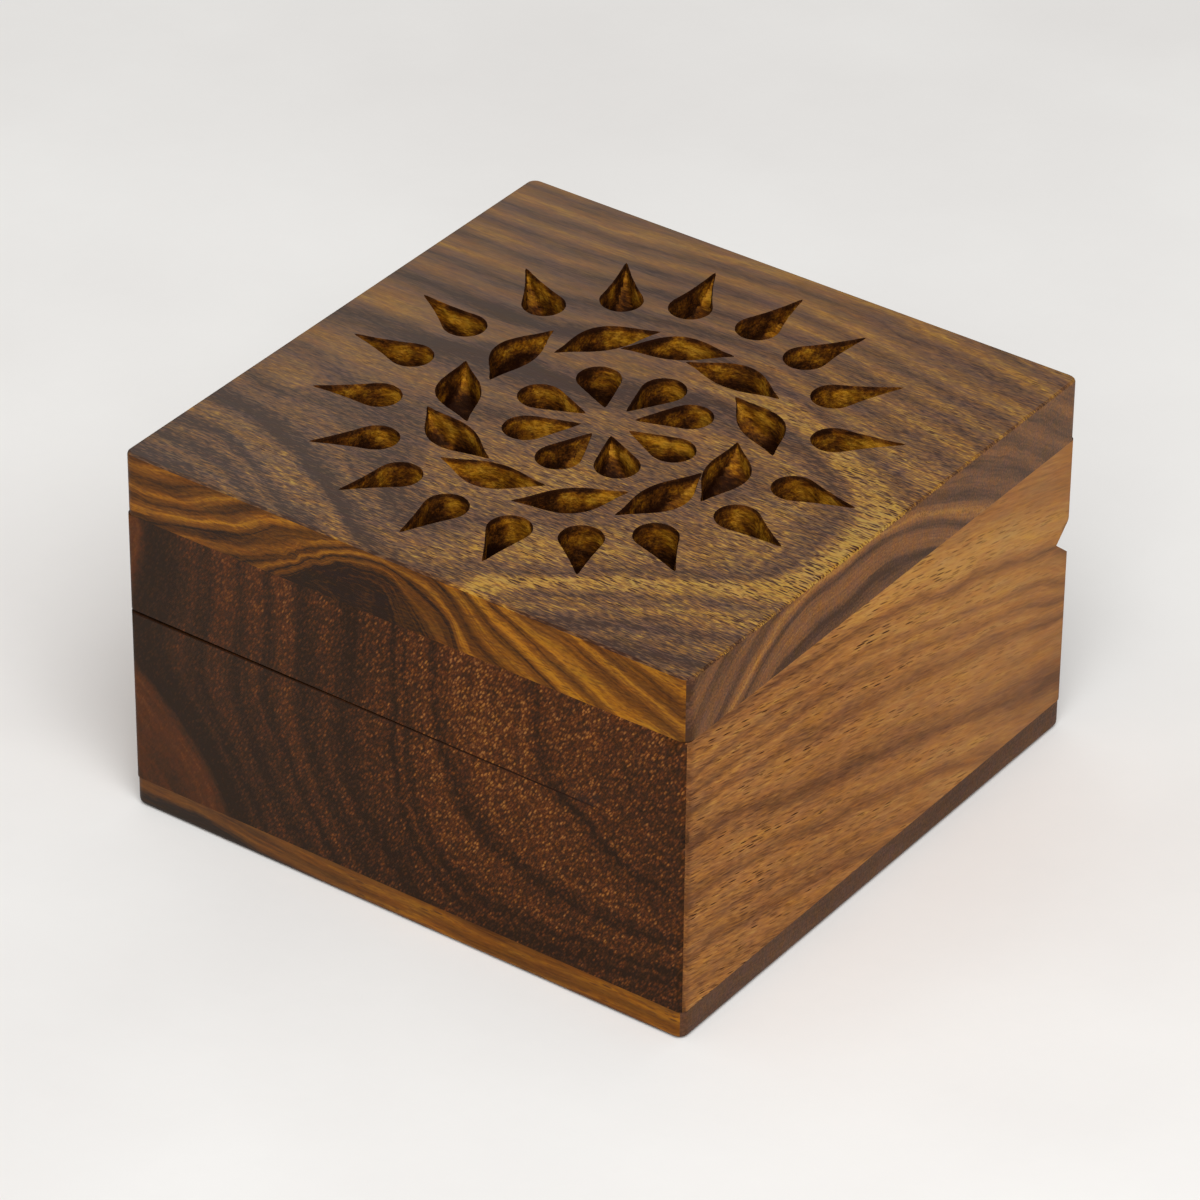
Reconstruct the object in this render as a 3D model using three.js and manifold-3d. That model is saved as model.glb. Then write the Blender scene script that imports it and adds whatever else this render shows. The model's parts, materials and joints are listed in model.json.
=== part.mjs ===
// Carved wooden box with a pierced lid, hung on two small brass butt hinges.
// The base and the lid are hollowed blocks with a board glued under one and on the other.
// Units are millimetres. +Z is up, the front is towards -Y and the hinges are towards +Y.
// The origin lies under the middle of the box, on the surface that it stands on.

import * as THREE from "three";
import { ConvexGeometry } from "three/addons/geometries/ConvexGeometry.js";
import { mergeVertices } from "three/addons/utils/BufferGeometryUtils.js";
import Module from "manifold-3d";

const wasm = await Module();
wasm.setup();

// Box
const boxWidth = 102;
const boxDepth = 102;
const bottomThickness = 5;
const baseBlockHeight = 30;
const lidBlockHeight = 17.3;
const topThickness = 10.7;
const wallThickness = 10;
const outerCornerRadius = 1.2;
const cavityCornerRadius = 4;

// Lid underside at its front left corner, which stands a little proud of the base
const cornerGap = 0.55;
const cornerGapWidth = 86;
const cornerGapDepth = 98;

// Groove along the back, where the two blocks are chamfered for the hinges
const grooveDepth = 4.1;
const lidChamferHeight = 4;
const baseChamferHeight = 3.4;

// Hinges
const hingeLength = 20;
const hingeEndDistance = 13;
const hingeAxisInGroove = 1.2;
const leafReach = 6.5;
const leafThickness = 0.8;
const leafGap = 0.3;
const knuckleRadius = 1.5;
const middleKnuckleLength = 7.5;
const knuckleEndGap = 0.3;
const pinRadius = 0.65;
const pinBoreClearance = 0.15;
const pinHeadRadius = 1;
const pinHeadHeight = 0.4;
const pinHeadGap = 0.15;
const knuckleClearance = 0.3;
const mortiseClearance = 0.3;

// Hinge screws
const screwSpacing = 12;
const screwEdgeDistance = 2.6;
const screwLength = 7;
const screwShankRadius = 0.7;
const screwHeadRadius = 1.35;
const screwHeadHeight = 0.65;
const screwPointHeight = 1.4;
const screwSlotWidth = 0.35;
const screwSlotDepth = 0.35;
const screwClearance = 0.15;

// Rosette pierced through the top board, drawn by hand and fitted to the board inside a margin
const rosetteMargin = 7;
const tipFloorShare = 0.35;

// Outer ring of drops, tips outward
const dropBearings = [
  0, 25, 46, 66, 85, 105, 123, 143, 165.5, 185.5, 206.5, 227, 245.5, 264.5, 283, 301, 319, 340.5,
];
const dropTipRing = { x: -0.25, y: -0.1, radius: 44 };
const dropRoundRing = { x: 0, y: -0.9, radius: 34.1 };
const dropRoundRadius = 3.25;

// Middle ring of leaves, which run outward clockwise
const leafBearings = [32.5, 67.5, 97.5, 126, 161.5, 196.5, 227.5, 259, 293.5, 327.5, 356];
const leafRing = { x: 0.7, y: -1.2, radius: 23.3 };
const leafTilt = 21;
const leafHalfLength = 8.2;
const leafHalfWidth = 3.3;
const leafBow = 1.2;

// Inner ring of petals, tips inward
const petalBearings = [43, 83, 132, 180.5, 224.5, 269.5, 312, 356.5];
const petalRing = { x: 1.5, y: -1.6, radius: 12.2 };
const petalTipRadius = 4.4;
const petalRoundRadius = 3.3;

// Shape of a hole: where its round end turns into a flank, and how far the flank runs straight
const shoulderAngle = 66;
const flankShare = 0.6;
const leafTipShare = 0.37;
const leafCrownShare = 0.4;

// Facets
const holeSegments = 6;
const cornerSegments = 4;
const knuckleSegments = 24;
const screwSegments = 16;
const cutOvershoot = 1;

// Places that follow from the sizes
const partingHeight = bottomThickness + baseBlockHeight;
const lidBlockTop = partingHeight + lidBlockHeight;
const boxHeight = lidBlockTop + topThickness;
const grooveBottomY = boxDepth / 2 - grooveDepth;
const hingeAxisY = grooveBottomY + hingeAxisInGroove;
const hingeX = boxWidth / 2 - hingeEndDistance - hingeLength / 2;
const leafOuterFace = leafGap / 2 + leafThickness;
const screwY = screwEdgeDistance - leafReach;
const pinHeadStart = hingeLength / 2 + pinHeadGap;
const pinEndX = pinHeadStart + pinHeadHeight;
const endKnuckleStart = middleKnuckleLength / 2 + knuckleEndGap;

const lidWood = new THREE.MeshStandardMaterial({ color: 0x6b4a30, roughness: 0.5 });
const blockWood = new THREE.MeshStandardMaterial({ color: 0x7a4a26, roughness: 0.55 });
const brass = new THREE.MeshStandardMaterial({ color: 0xb08d45, roughness: 0.35, metalness: 1 });

// Turns a closed geometry into a solid that can be cut and joined.
function solidOf(geometry) {
  const bare = geometry.clone();
  bare.deleteAttribute("normal");
  bare.deleteAttribute("uv");
  const merged = mergeVertices(bare);
  const corners = merged.index.array;
  const kept = [];
  for (let i = 0; i < corners.length; i += 3) {
    const [a, b, c] = corners.slice(i, i + 3);
    if (a !== b && b !== c && c !== a) kept.push(a, b, c);
  }
  const mesh = new wasm.Mesh({
    numProp: 3,
    vertProperties: new Float32Array(merged.attributes.position.array),
    triVerts: new Uint32Array(kept),
  });
  return new wasm.Manifold(mesh);
}

function geometryOf(solid) {
  const mesh = solid.getMesh();
  const geometry = new THREE.BufferGeometry();
  geometry.setAttribute("position", new THREE.BufferAttribute(mesh.vertProperties, 3));
  geometry.setIndex(new THREE.BufferAttribute(mesh.triVerts, 1));
  geometry.computeVertexNormals();
  return geometry;
}

function pieceOf(name, solid, material) {
  const mesh = new THREE.Mesh(geometryOf(solid), material);
  mesh.name = name;
  return mesh;
}

// Box between two opposite corners.
function block(low, high) {
  const size = high.map((value, i) => value - low[i]);
  const geometry = new THREE.BoxGeometry(...size);
  geometry.translate(...low.map((value, i) => value + size[i] / 2));
  return solidOf(geometry);
}

function roundedRectangle(width, depth, radius) {
  const x = width / 2 - radius;
  const y = depth / 2 - radius;
  const shape = new THREE.Shape();
  shape.absarc(x, y, radius, 0, Math.PI / 2);
  shape.absarc(-x, y, radius, Math.PI / 2, Math.PI);
  shape.absarc(-x, -y, radius, Math.PI, Math.PI * 1.5);
  shape.absarc(x, -y, radius, Math.PI * 1.5, Math.PI * 2);
  return shape;
}

// Upright board or block with rounded corners, from one height to another.
function roundedBlock(width, depth, radius, bottom, top) {
  const geometry = new THREE.ExtrudeGeometry(roundedRectangle(width, depth, radius), {
    depth: top - bottom,
    curveSegments: cornerSegments,
    bevelEnabled: false,
  });
  geometry.translate(0, 0, bottom);
  return solidOf(geometry);
}

// Prism along X across the whole box, from an outline of [y, z] points.
function prismAlongX(points) {
  const length = boxWidth + 2 * cutOvershoot;
  const outline = new THREE.Shape(points.map(([y, z]) => new THREE.Vector2(y, z)));
  const geometry = new THREE.ExtrudeGeometry(outline, { depth: length, bevelEnabled: false });
  const shapeToBox = new THREE.Matrix4().makeBasis(
    new THREE.Vector3(0, 1, 0),
    new THREE.Vector3(0, 0, 1),
    new THREE.Vector3(1, 0, 0),
  );
  geometry.applyMatrix4(shapeToBox);
  geometry.translate(-length / 2, 0, 0);
  return solidOf(geometry);
}

// Round bar along X, with its axis on the hinge's own origin.
function roundBar(radius, fromX, toX) {
  const geometry = new THREE.CylinderGeometry(radius, radius, toX - fromX, knuckleSegments);
  geometry.rotateZ(-Math.PI / 2);
  geometry.translate((fromX + toX) / 2, 0, 0);
  return solidOf(geometry);
}

// Round shape turned about Z, from a profile of [radius, height] points
// that runs up from the axis and back to it.
function turned(profile) {
  const points = profile.map(([radius, height]) => new THREE.Vector2(radius, height));
  const geometry = new THREE.LatheGeometry(points, screwSegments);
  geometry.rotateX(Math.PI / 2);
  return solidOf(geometry);
}

function polar(ring, radius, bearing) {
  const angle = THREE.MathUtils.degToRad(bearing);
  return new THREE.Vector2(ring.x + radius * Math.cos(angle), ring.y + radius * Math.sin(angle));
}

// Hole outline with a round end about the origin and a tip at [reach, 0].
function dropOutline(radius, reach) {
  const shoulder = THREE.MathUtils.degToRad(shoulderAngle);
  const run = radius * Math.tan(shoulder) * flankShare;
  const startX = radius * Math.cos(shoulder);
  const startY = radius * Math.sin(shoulder);
  const controlX = startX + run * Math.sin(shoulder);
  const controlY = startY - run * Math.cos(shoulder);
  const shape = new THREE.Shape();
  shape.absarc(0, 0, radius, shoulder, 2 * Math.PI - shoulder);
  shape.quadraticCurveTo(controlX, -controlY, reach, 0);
  shape.quadraticCurveTo(controlX, controlY, startX, startY);
  return shape;
}

// Hole outline with a tip at each end, bowed so that the tips lie below its middle.
function leafOutline() {
  const tipX = leafHalfLength;
  const nearTipX = tipX * (1 - leafTipShare);
  const crownX = tipX * leafCrownShare;
  const shape = new THREE.Shape();
  shape.moveTo(tipX, -leafBow);
  for (const side of [1, -1]) {
    const crownY = side * leafHalfWidth;
    const nearTipY = (side * (leafHalfWidth - leafBow) - leafBow) / 2;
    shape.bezierCurveTo(side * nearTipX, nearTipY, side * crownX, crownY, 0, crownY);
    shape.bezierCurveTo(-side * crownX, crownY, -side * nearTipX, nearTipY, -side * tipX, -leafBow);
  }
  return shape;
}

// Cutter for one pierced hole. Beyond the round part its tips draw in with depth, as a chisel leaves them.
function holeCutter(outline, roundReach, place, bearing) {
  const height = topThickness + 2 * cutOvershoot;
  const geometry = new THREE.ExtrudeGeometry(outline, {
    depth: height,
    curveSegments: holeSegments,
    bevelEnabled: false,
  });
  geometry.translate(0, 0, -cutOvershoot);
  const points = geometry.attributes.position;
  for (let i = 0; i < points.count; i += 1) {
    const x = points.getX(i);
    const beyond = Math.max(Math.abs(x) - roundReach, 0);
    const share = THREE.MathUtils.mapLinear(points.getZ(i), 0, topThickness, tipFloorShare, 1);
    points.setX(i, Math.sign(x) * (Math.abs(x) - beyond * (1 - share)));
  }
  geometry.rotateZ(THREE.MathUtils.degToRad(bearing));
  geometry.translate(place.x, place.y, 0);
  return geometry;
}

function dropCutters() {
  return dropBearings.map((bearing) => {
    const round = polar(dropRoundRing, dropRoundRing.radius, bearing);
    const toTip = polar(dropTipRing, dropTipRing.radius, bearing).sub(round);
    const outline = dropOutline(dropRoundRadius, toTip.length());
    return holeCutter(outline, dropRoundRadius, round, THREE.MathUtils.radToDeg(toTip.angle()));
  });
}

function leafCutters() {
  return leafBearings.map((bearing) => {
    const place = polar(leafRing, leafRing.radius, bearing);
    return holeCutter(leafOutline(), leafHalfWidth, place, bearing - 90 + leafTilt);
  });
}

function petalCutters() {
  const reach = petalRing.radius - petalTipRadius;
  return petalBearings.map((bearing) => {
    const place = polar(petalRing, petalRing.radius, bearing);
    return holeCutter(dropOutline(petalRoundRadius, reach), petalRoundRadius, place, bearing + 180);
  });
}

// All the holes, fitted to the top board and set at its height.
function rosetteCutter() {
  const rosetteRadius = Math.min(boxWidth, boxDepth) / 2 - rosetteMargin;
  const fit = rosetteRadius / dropTipRing.radius;
  const cutters = [...dropCutters(), ...leafCutters(), ...petalCutters()];
  const solids = cutters.map((geometry) => {
    geometry.scale(fit, fit, 1);
    geometry.translate(0, 0, lidBlockTop);
    return solidOf(geometry);
  });
  return solids.reduce((joined, solid) => joined.add(solid));
}

function topPanel() {
  const board = roundedBlock(boxWidth, boxDepth, outerCornerRadius, lidBlockTop, boxHeight);
  return board.subtract(rosetteCutter());
}

function bottomPanel() {
  return roundedBlock(boxWidth, boxDepth, outerCornerRadius, 0, bottomThickness);
}

// Block with a cavity right through it.
function hollowBlock(bottom, top) {
  const outer = roundedBlock(boxWidth, boxDepth, outerCornerRadius, bottom, top);
  const cavity = roundedBlock(
    boxWidth - 2 * wallThickness,
    boxDepth - 2 * wallThickness,
    cavityCornerRadius,
    bottom - cutOvershoot,
    top + cutOvershoot,
  );
  return outer.subtract(cavity);
}

// Chamfer along the back edge at the parting line: up into the lid for side 1,
// and down into the base for side -1.
function backChamfer(side, height) {
  const slope = height / grooveDepth;
  const outY = boxDepth / 2 + cutOvershoot;
  const outZ = partingHeight + side * slope * (grooveDepth + cutOvershoot);
  const corner = [grooveBottomY, partingHeight];
  const past = [outY, partingHeight - side * cutOvershoot];
  return prismAlongX([corner, past, [outY, outZ]]);
}

// Sliver under the lid's front left corner that lets it stand proud of the base.
function cornerGapCutter() {
  const left = -boxWidth / 2 - cutOvershoot;
  const front = -boxDepth / 2 - cutOvershoot;
  const farX = -boxWidth / 2 + cornerGapWidth * (1 + cutOvershoot / cornerGapDepth);
  const farY = -boxDepth / 2 + cornerGapDepth * (1 + cutOvershoot / cornerGapWidth);
  const rise = cornerGap * (1 + cutOvershoot / cornerGapWidth + cutOvershoot / cornerGapDepth);
  const below = partingHeight - cutOvershoot;
  const footprint = [[left, front], [farX, front], [left, farY]];
  const points = footprint.map(([x, y]) => new THREE.Vector3(x, y, below));
  points.push(new THREE.Vector3(left, front, partingHeight + rise));
  points.push(new THREE.Vector3(farX, front, partingHeight));
  points.push(new THREE.Vector3(left, farY, partingHeight));
  return solidOf(new ConvexGeometry(points));
}

// Everything below is drawn on the hinge's own axis, with its leaves towards -Y.
// Side 1 is the lid's half, above the axis, and side -1 the base's half, below it.

function screwXs() {
  return [-screwSpacing / 2, screwSpacing / 2];
}

// Screw that points into its block, with a slot across its head.
function screw(side) {
  const body = turned([
    [0, -screwLength],
    [screwShankRadius, screwPointHeight - screwLength],
    [screwShankRadius, -screwHeadHeight],
    [screwHeadRadius, 0],
    [0, 0],
  ]);
  const half = screwSlotWidth / 2;
  const slotLow = [-screwHeadRadius - cutOvershoot, -half, -screwSlotDepth];
  const slotHigh = [screwHeadRadius + cutOvershoot, half, cutOvershoot];
  return facing(body.subtract(block(slotLow, slotHigh)), side);
}

function screwHole(side) {
  const shank = screwShankRadius + screwClearance;
  const head = screwHeadRadius + screwClearance;
  const hole = turned([
    [0, -screwLength - screwClearance],
    [shank, -screwLength - screwClearance],
    [shank, -screwHeadHeight],
    [head, 0],
    [head, cutOvershoot],
    [0, cutOvershoot],
  ]);
  return facing(hole, side);
}

// Turns a screw or its hole, drawn pointing down from height 0, to point into its own block.
function facing(solid, side) {
  const turnedOver = side > 0 ? solid.rotate([180, 0, 0]) : solid;
  return turnedOver.translate([0, 0, (side * leafGap) / 2]);
}

function screwHoles(side) {
  const holes = screwXs().map((x) => screwHole(side).translate([x, screwY, 0]));
  return holes[0].add(holes[1]);
}

// Stretches of the hinge's length, along X, that hold this side's knuckles.
function knuckleSpans(side) {
  const half = hingeLength / 2;
  if (side > 0) return [[-middleKnuckleLength / 2, middleKnuckleLength / 2]];
  return [[-half, -endKnuckleStart], [endKnuckleStart, half]];
}

// Stretches that this side's leaf leaves free for the other side's knuckles.
function notchSpans(side) {
  const half = hingeLength / 2 + cutOvershoot;
  if (side < 0) return [[-endKnuckleStart, endKnuckleStart]];
  return [[-half, -middleKnuckleLength / 2], [middleKnuckleLength / 2, half]];
}

function between(a, b) {
  return [Math.min(a, b), Math.max(a, b)];
}

function leaf(side) {
  const half = hingeLength / 2;
  const notchY = -knuckleRadius - knuckleClearance;
  const [lowZ, highZ] = between((side * leafGap) / 2, side * leafOuterFace);
  let solid = block([-half, -leafReach, lowZ], [half, 0, highZ]);
  for (const [from, to] of notchSpans(side)) {
    solid = solid.subtract(block([from, notchY, -knuckleRadius], [to, cutOvershoot, knuckleRadius]));
  }
  for (const [from, to] of knuckleSpans(side)) {
    solid = solid.add(roundBar(knuckleRadius, from, to));
  }
  const bore = roundBar(pinRadius + pinBoreClearance, -half - cutOvershoot, half + cutOvershoot);
  return solid.subtract(bore).subtract(screwHoles(side));
}

function pin() {
  const shaft = roundBar(pinRadius, -pinEndX, pinEndX);
  const rightHead = roundBar(pinHeadRadius, pinHeadStart, pinEndX);
  const leftHead = roundBar(pinHeadRadius, -pinEndX, -pinHeadStart);
  return shaft.add(rightHead).add(leftHead);
}

// Room for one leaf, its screws and all the knuckles, cut from the block on its side.
function hingeSeat(side) {
  const half = hingeLength / 2 + mortiseClearance;
  const pocketEnd = pinEndX + knuckleClearance;
  const [lowZ, highZ] = between(-side * cutOvershoot, side * leafOuterFace);
  const mortise = block([-half, -leafReach - mortiseClearance, lowZ], [half, grooveDepth, highZ]);
  const pocket = roundBar(knuckleRadius + knuckleClearance, -pocketEnd, pocketEnd);
  return mortise.add(pocket).add(screwHoles(side));
}

// Cuts the seats of both hinges out of a block.
function withHingeSeats(solid, side) {
  return [-hingeX, hingeX].reduce((cut, x) => {
    return cut.subtract(hingeSeat(side).translate([x, hingeAxisY, partingHeight]));
  }, solid);
}

function baseFrame() {
  const solid = hollowBlock(bottomThickness, partingHeight);
  return withHingeSeats(solid.subtract(backChamfer(-1, baseChamferHeight)), -1);
}

function lidFrame() {
  const solid = hollowBlock(partingHeight, lidBlockTop);
  const chamfered = solid.subtract(backChamfer(1, lidChamferHeight)).subtract(cornerGapCutter());
  return withHingeSeats(chamfered, 1);
}

// One hinge: its two leaves, its pin and the four screws that hold it.
function hinge(name, x) {
  const group = new THREE.Group();
  group.position.set(x, hingeAxisY, partingHeight);
  for (const [half, side] of [["base", -1], ["lid", 1]]) {
    group.add(pieceOf(`${name}_${half}_leaf`, leaf(side), brass));
    screwXs().forEach((screwX, i) => {
      const piece = pieceOf(`${name}_${half}_screw_${i + 1}`, screw(side), brass);
      piece.position.set(screwX, screwY, 0);
      group.add(piece);
    });
  }
  group.add(pieceOf(`${name}_pin`, pin(), brass));
  return group;
}

const box = new THREE.Group();
box.add(pieceOf("bottom_panel", bottomPanel(), lidWood));
box.add(pieceOf("base_frame", baseFrame(), blockWood));
box.add(pieceOf("lid_frame", lidFrame(), blockWood));
box.add(pieceOf("top_panel", topPanel(), lidWood));
box.add(hinge("left_hinge", -hingeX));
box.add(hinge("right_hinge", hingeX));

export default box;
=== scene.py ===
"""A carved wooden box: a hollowed block on a thin board, with a hinged lid whose thick top is pierced.

The wood is dark rosewood with a strong figure. Each outer face has growth lines of its own, drawn in
millimetres on that face. A smooth surface through them gives every face corner its age, and the finishes
turn the age into the light and dark bands of the wood. Pores, flecks and fibres come on top of it.
"""
import json
import logging
import math
import random
from collections.abc import Callable, Sequence
from dataclasses import dataclass, replace
from enum import Enum

import bmesh
import bpy
import numpy as np
from mathutils import Matrix, Vector, noise

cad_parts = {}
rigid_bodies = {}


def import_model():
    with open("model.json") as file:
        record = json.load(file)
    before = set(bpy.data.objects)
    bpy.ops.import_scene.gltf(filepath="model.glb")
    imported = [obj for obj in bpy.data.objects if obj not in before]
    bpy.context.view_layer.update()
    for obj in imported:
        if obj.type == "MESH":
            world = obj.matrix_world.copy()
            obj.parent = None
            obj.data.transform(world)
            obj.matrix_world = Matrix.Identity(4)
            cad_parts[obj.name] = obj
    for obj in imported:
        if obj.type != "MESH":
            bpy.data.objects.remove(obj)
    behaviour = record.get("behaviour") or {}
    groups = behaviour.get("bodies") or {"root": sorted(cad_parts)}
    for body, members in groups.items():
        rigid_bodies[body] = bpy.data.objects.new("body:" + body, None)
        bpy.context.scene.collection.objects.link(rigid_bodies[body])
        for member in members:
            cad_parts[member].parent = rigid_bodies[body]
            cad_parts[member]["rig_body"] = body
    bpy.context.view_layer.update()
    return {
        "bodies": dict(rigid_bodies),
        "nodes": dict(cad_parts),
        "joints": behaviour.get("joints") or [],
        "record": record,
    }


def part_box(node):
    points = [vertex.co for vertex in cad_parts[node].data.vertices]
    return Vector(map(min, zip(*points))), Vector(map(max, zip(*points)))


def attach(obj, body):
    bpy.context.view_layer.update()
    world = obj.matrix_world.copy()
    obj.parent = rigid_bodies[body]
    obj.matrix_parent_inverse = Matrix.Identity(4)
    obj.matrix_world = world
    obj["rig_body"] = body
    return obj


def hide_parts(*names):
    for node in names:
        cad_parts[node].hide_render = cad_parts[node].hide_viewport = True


log = logging.getLogger("carved_box")

# A millimetre in metres, then the box's half width, its height and its parting line in millimetres.
MM = 0.001
HALF = 51.0
HEIGHT = 63.0
PARTING = 35.0

# How near points have to be to count as one, and to be taken along by a cut, in metres.
SAME_PLACE = 1e-6
CUT_SNAP = 2e-6

# How near heights have to be to count as one, in millimetres.
SAME_HEIGHT = 0.01

# In degrees: an edge is a corner from the first angle on, and two faces are one up to the second.
CORNER = 35.0
SAME_FACE = 0.5

Flat = tuple[float, float]
Socket = bpy.types.NodeSocket


class Tone(Enum):
    """The colours of the wood, the brass and the floor, as they are seen (red, green and blue of 255)."""

    TOP_DEEP = (60, 39, 28)
    TOP_DARK = (89, 62, 44)
    TOP_TAN = (118, 81, 46)
    TOP_GOLD = (151, 108, 45)
    TOP_BRIGHT = (172, 132, 59)
    EDGE_DEEP = (41, 26, 17)
    EDGE_DARK = (85, 49, 16)
    EDGE_AMBER = (117, 69, 20)
    EDGE_GOLD = (165, 107, 25)
    END_DEEP = (70, 47, 32)
    END_BROWN = (102, 69, 46)
    END_TAN = (131, 86, 50)
    END_GOLD = (162, 113, 55)
    COAL = (40, 23, 10)
    CHAR = (58, 33, 15)
    RUST = (80, 41, 16)
    EMBER = (106, 60, 25)
    SPARK = (150, 97, 45)
    SADDLE = (102, 64, 36)
    COPPER = (131, 84, 45)
    APRICOT = (160, 106, 53)
    WHEAT = (185, 134, 66)
    PORE = (64, 36, 24)
    # A painted sheen: the grey of the bright room, reflected off the far side of the waxed wood.
    PAINTED_SHEEN = (122, 128, 124)
    PITCH = (34, 14, 4)
    NIGHT = (46, 23, 7)
    BARK = (84, 46, 12)
    AMBER = (130, 82, 16)
    GOLD = (186, 130, 34)
    BRASS = (190, 150, 84)
    TARNISH = (110, 80, 42)
    CHALK = (232, 230, 228)
    LIME = (240, 239, 237)

    def linear(self) -> tuple[float, float, float, float]:
        """Returns the colour as the light that it stands for, with full opacity."""
        parts = [c / 255 for c in self.value]
        parts = [c / 12.92 if c <= 0.04045 else ((c + 0.055) / 1.055) ** 2.4 for c in parts]
        return (parts[0], parts[1], parts[2], 1.0)


class Side(Enum):
    """Which way a face looks: the axis that it is square to, and the sign along it."""

    TOP = (2, 1)
    UNDER = (2, -1)
    FRONT = (1, -1)
    BACK = (1, 1)
    RIGHT = (0, 1)
    LEFT = (0, -1)

    @classmethod
    def of(cls, normal: Vector) -> "Side":
        """Returns the side that a face with this normal belongs to.

        Args:
            normal: the face's outward direction.

        Returns:
            The side of the axis that the normal follows most.
        """
        axis = max(range(3), key=lambda i: abs(normal[i]))
        return cls((axis, 1 if normal[axis] > 0 else -1))

    def flatten(self, places: np.ndarray) -> np.ndarray:
        """Lays points of a face out on the flat, as it is seen from in front.

        Args:
            places: points in the object's frame, in millimetres.

        Returns:
            Pairs in millimetres. A lying face counts from its left and back edges, and a standing face from
            its left edge and from the top of the box.
        """
        x, y, z = places[:, 0], places[:, 1], places[:, 2]
        if self in (Side.TOP, Side.UNDER):
            return np.column_stack((x + HALF, HALF - y))
        if self in (Side.FRONT, Side.BACK):
            return np.column_stack((x + HALF, HEIGHT - z))
        return np.column_stack((y + HALF, HEIGHT - z))


class Figure:
    """The figure of one face: an age at every point, bent smoothly through the drawn growth lines."""

    # How many places are worked out at once, and the least squared gap, which keeps the logarithm finite.
    SLICE = 4000
    LEAST_GAP = 1e-12

    def __init__(self, lines: dict[float, tuple[Flat, ...]], stiffness: float = 0.6) -> None:
        """Fits a thin bent plate through the growth lines.

        Args:
            lines: for each age, points along its growth line, in millimetres on the face.
            stiffness: how far the plate may pass beside a point to stay smooth.
        """
        self.knots = np.array([point for points in lines.values() for point in points], float)
        ages = np.array([age for age, points in lines.items() for _ in points], float)
        count = len(self.knots)
        flat = np.column_stack((np.ones(count), self.knots))
        system = np.zeros((count + 3, count + 3))
        system[:count, :count] = self.bend(self.knots) + stiffness * np.eye(count)
        system[:count, count:] = flat
        system[count:, :count] = flat.T
        self.weights = np.linalg.solve(system, np.concatenate((ages, np.zeros(3))))

    def bend(self, places: np.ndarray) -> np.ndarray:
        """Returns how much each knot bends the plate at each place."""
        gaps = ((places[:, None, :] - self.knots[None, :, :]) ** 2).sum(axis=2)
        return 0.5 * gaps * np.log(np.maximum(gaps, self.LEAST_GAP))

    def ages(self, places: np.ndarray) -> np.ndarray:
        """Returns the age of the wood at places on the face, in slices that keep memory small."""
        found = [np.zeros(0)]
        for part in np.array_split(places, max(1, len(places) // self.SLICE)):
            flat = np.column_stack((self.bend(part), np.ones(len(part)), part))
            found.append(flat @ self.weights)
        return np.concatenate(found)


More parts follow.
